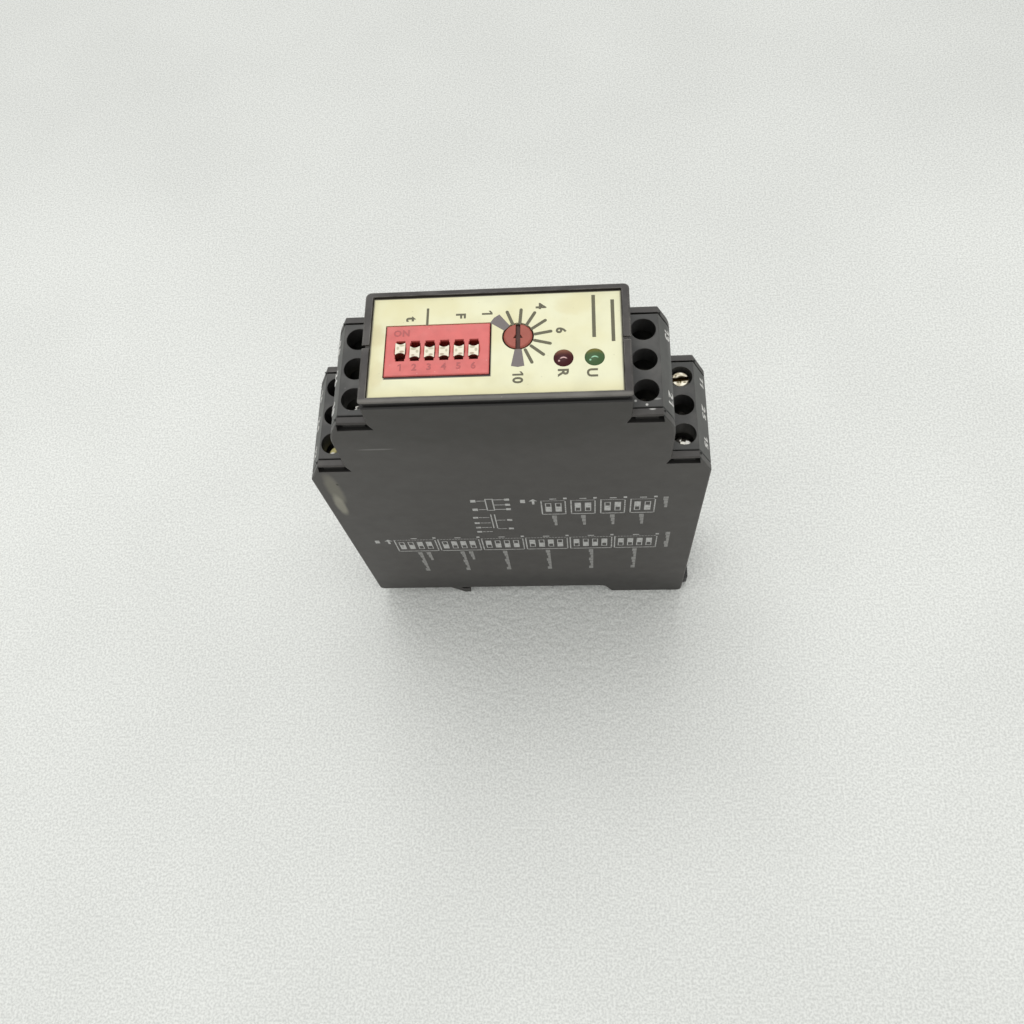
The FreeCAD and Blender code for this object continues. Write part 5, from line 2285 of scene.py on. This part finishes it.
@dataclass
class RailFoot:
    """The sliding rail clip and the folded spring that drives it."""

    folds: int = 8
    strip: float = 0.35
    bend_steps: int = 8
    bend_share: float = 0.75
    release: float = 3.5

    def build(self) -> None:
        """Makes the folded spring in place of the CAD spring, which it hides."""
        low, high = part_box("clip_spring")
        path = self.spring_path(low, high)
        shape = bmesh.new()
        half = self.strip * MM / 2
        rings = []
        for i, point in enumerate(path):
            before = path[max(i - 1, 0)]
            after = path[min(i + 1, len(path) - 1)]
            heading = (after - before).normalized()
            sideways = Vector((-heading.y, heading.x, 0.0)) * half
            ring = []
            for offset, height in (
                (-sideways, low.z),
                (sideways, low.z),
                (sideways, high.z),
                (-sideways, high.z),
            ):
                corner = point + offset
                ring.append(shape.verts.new((corner.x, corner.y, height)))
            rings.append(ring)
        for ring, following in zip(rings, rings[1:]):
            for k in range(len(ring)):
                n = (k + 1) % len(ring)
                shape.faces.new((ring[k], ring[n], following[n], following[k]))
        shape.faces.new(rings[0][::-1])
        shape.faces.new(rings[-1])
        bmesh.ops.recalc_face_normals(shape, faces=shape.faces)
        spring = make_piece("folded_spring", shape, Finish.SPRING, MODULE)
        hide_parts("clip_spring")
        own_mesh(spring)

    def spring_path(self, low: Vector, high: Vector) -> list[Vector]:
        """The middle line of the folded strip, seen from above.

        Args:
            low: Lowest corner of the spring's box.
            high: Highest corner of the spring's box.

        Returns:
            The points of the line, in the frame.
        """
        half = self.strip * MM / 2
        pitch = (high.x - low.x - 2 * half) / (self.folds - 1)
        bend = pitch / 2
        reach = (high.y - low.y) / 2 - half - bend * self.bend_share
        middle = (low.y + high.y) / 2
        points = []
        side = -1.0
        for i in range(self.folds):
            x = low.x + half + pitch * i
            points.append(Vector((x, middle + side * reach, 0.0)))
            side = -side
            points.append(Vector((x, middle + side * reach, 0.0)))
            if i + 1 < self.folds:
                for k in range(1, self.bend_steps):
                    angle = math.pi * (1.0 - k / self.bend_steps)
                    along = math.cos(angle) * bend
                    outward = side * math.sin(angle) * bend * self.bend_share
                    points.append(Vector((x + bend + along, middle + side * reach + outward, 0.0)))
        return points

    def dress(self) -> None:
        """Gives the clip its finish."""
        dress(Finish.CLIP, "rail_clip")


@dataclass
class Inside:
    """The boards and the sealed pieces on them."""

    finishes: dict[str, Finish] = field(
        default_factory=lambda: {
            "main_circuit_board": Finish.BOARD,
            "front_circuit_board": Finish.BOARD,
            "output_relay_lower": Finish.RELAY,
            "output_relay_upper": Finish.RELAY,
            "film_capacitor": Finish.FILM_CAPACITOR,
            "smoothing_capacitor": Finish.CAN,
            "timer_chip": Finish.CHIP,
        }
    )

    def dress(self) -> None:
        """Gives the inner nodes their finishes."""
        for name, finish in self.finishes.items():
            dress(finish, name)


# Studio


@dataclass
class Studio:
    """Floor, light and camera."""

    floor_half: float = 2000.0
    floor_colour: Colour = tint(227, 229, 224)
    sky: float = 0.81
    backdrop: float = 0.84
    key_place: Place = (-100.0, 360.0, 900.0)
    key_size: float = 560.0
    key_power: float = 2.15
    camera_place: Place = (14.08, -90.588, 235.517)
    camera_aim: Place = (-1.702, -9.976, 50.0)
    camera_roll: float = -11.348
    lens: float = 33.18
    sensor: float = 36.0
    clip: float = 5.0

    def build(self) -> None:
        """Sets up the whole studio."""
        self.lay_floor()
        self.light_world()
        self.hang_key()
        self.place_camera()
        bpy.context.scene.view_settings.view_transform = "Standard"

    def lay_floor(self) -> None:
        """Lays the plain pale floor with its speckle, its embossed grain and a painted falloff of light
        far off.
        """
        patch_scale = 15.5
        grain_scale = 620.0
        grain_depth = 0.4
        speckle_scale = 1900.0
        low, high = 0.3, 0.7
        patch_shades = (0.97, 1.02)
        speckle_shades = (0.87, 1.13)
        near, far = 50.0, 190.0
        near_shade, far_shade = 1.03, 0.915
        roughness = 0.6
        shape = bmesh.new()
        half = self.floor_half * MM
        bmesh.ops.create_grid(shape, x_segments=2, y_segments=2, size=half)
        mesh = bpy.data.meshes.new("studio_floor")
        shape.to_mesh(mesh)
        shape.free()
        floor = bpy.data.objects.new("studio_floor", mesh)
        bpy.context.scene.collection.objects.link(floor)
        material, graph, shader = blank_material("pale_floor")
        place = graph.object_place()
        patches = graph.noise(place, patch_scale, FINE_OCTAVES)
        grain = graph.noise(place, grain_scale, FINE_OCTAVES)
        speckles = graph.noise(place, speckle_scale)
        # Painted light: the floor brighter near the part and darker far off.
        falloff = graph.ramp(graph.parts(place)[1], near * MM, far * MM, near_shade, far_shade)
        shade = graph.ramp(patches, low, high, *patch_shades)
        shade = graph.math("MULTIPLY", shade, graph.ramp(speckles, low, high, *speckle_shades))
        shade = graph.math("MULTIPLY", shade, falloff)
        colour = graph.vector("MULTIPLY", self.floor_colour[:3], shade).outputs[0]
        graph.feed(shader.inputs["Base Color"], colour)
        graph.feed(shader.inputs["Roughness"], roughness)
        flat = graph.add("ShaderNodeNewGeometry").outputs["Normal"]
        graph.feed(shader.inputs["Normal"], graph.bumped(grain, grain_depth * MM, flat))
        mesh.materials.append(material)

    def light_world(self) -> None:
        """Sets an even pale surround, seen a little brighter than it lights."""
        world = bpy.data.worlds.new("studio_surround")
        bpy.context.scene.world = world
        world.use_nodes = True
        graph = Graph(world.node_tree)
        surround = world.node_tree.nodes["Background"]
        rays = graph.add("ShaderNodeLightPath").outputs
        seen = graph.math("MAXIMUM", rays["Is Camera Ray"], rays["Is Glossy Ray"])
        seen = graph.math("MAXIMUM", seen, rays["Is Transmission Ray"])
        graph.feed(surround.inputs["Color"], WHITE)
        graph.feed(surround.inputs["Strength"], graph.ramp(seen, 0.0, 1.0, self.sky, self.backdrop))

    def hang_key(self) -> None:
        """Hangs the large soft lamp above and behind the part."""
        lamp = bpy.data.lights.new("soft_key", "AREA")
        lamp.energy = self.key_power
        lamp.shape = "DISK"
        lamp.size = self.key_size * MM
        holder = bpy.data.objects.new("soft_key", lamp)
        bpy.context.scene.collection.objects.link(holder)
        holder.location = Vector(self.key_place) * MM
        holder.rotation_euler = (-holder.location).to_track_quat("-Z", "Y").to_euler()

    def place_camera(self) -> None:
        """Sets the camera where the photograph was taken."""
        data = bpy.data.cameras.new("view_camera")
        data.sensor_width = self.sensor
        data.lens = self.lens
        data.clip_start = self.clip * MM
        holder = bpy.data.objects.new("view_camera", data)
        bpy.context.scene.collection.objects.link(holder)
        place = Vector(self.camera_place) * MM
        gaze = Vector(self.camera_aim) * MM - place
        roll = Quaternion((0.0, 0.0, 1.0), math.radians(self.camera_roll))
        holder.location = place
        holder.rotation_euler = (gaze.to_track_quat("-Z", "Y") @ roll).to_euler()
        bpy.context.scene.camera = holder


def terminal_rows() -> list[TerminalRow]:
    """The four terminal rows with their plain numbers.

    Returns:
        The rows.
    """
    upper = {"level": "upper", "flat_end": 28.45, "bevel_end": 31.0, "bevel_drop": 5.0}
    lower = {"level": "lower", "flat_end": 36.2, "bevel_end": 39.0, "bevel_drop": 5.9}
    return [
        TerminalRow(side=Side.LEFT, numbers=(("28", 6.6), ("26", 0.2), ("18", -6.2)), **upper),
        TerminalRow(side=Side.RIGHT, numbers=(("13", 7.1), ("21", -6.1)), **upper),
        TerminalRow(side=Side.LEFT, numbers=(("16", 6.6), ("24", 0.2), ("12", -6.2)), **lower),
        TerminalRow(side=Side.RIGHT, numbers=(("11", 7.2), ("25", 0.4), ("15", -6.1)), **lower),
    ]


def main() -> None:
    """Builds and dresses every sub-assembly, then the studio."""
    logging.basicConfig(level=logging.INFO, format="%(name)s: %(message)s")
    for assembly in (Housing(), FrontPanel(), *terminal_rows(), RailFoot()):
        assembly.build()
        assembly.dress()
        LOG.info("finished %s", type(assembly).__name__)
    Inside().dress()
    Studio().build()


if __name__ == "__main__":
    main()
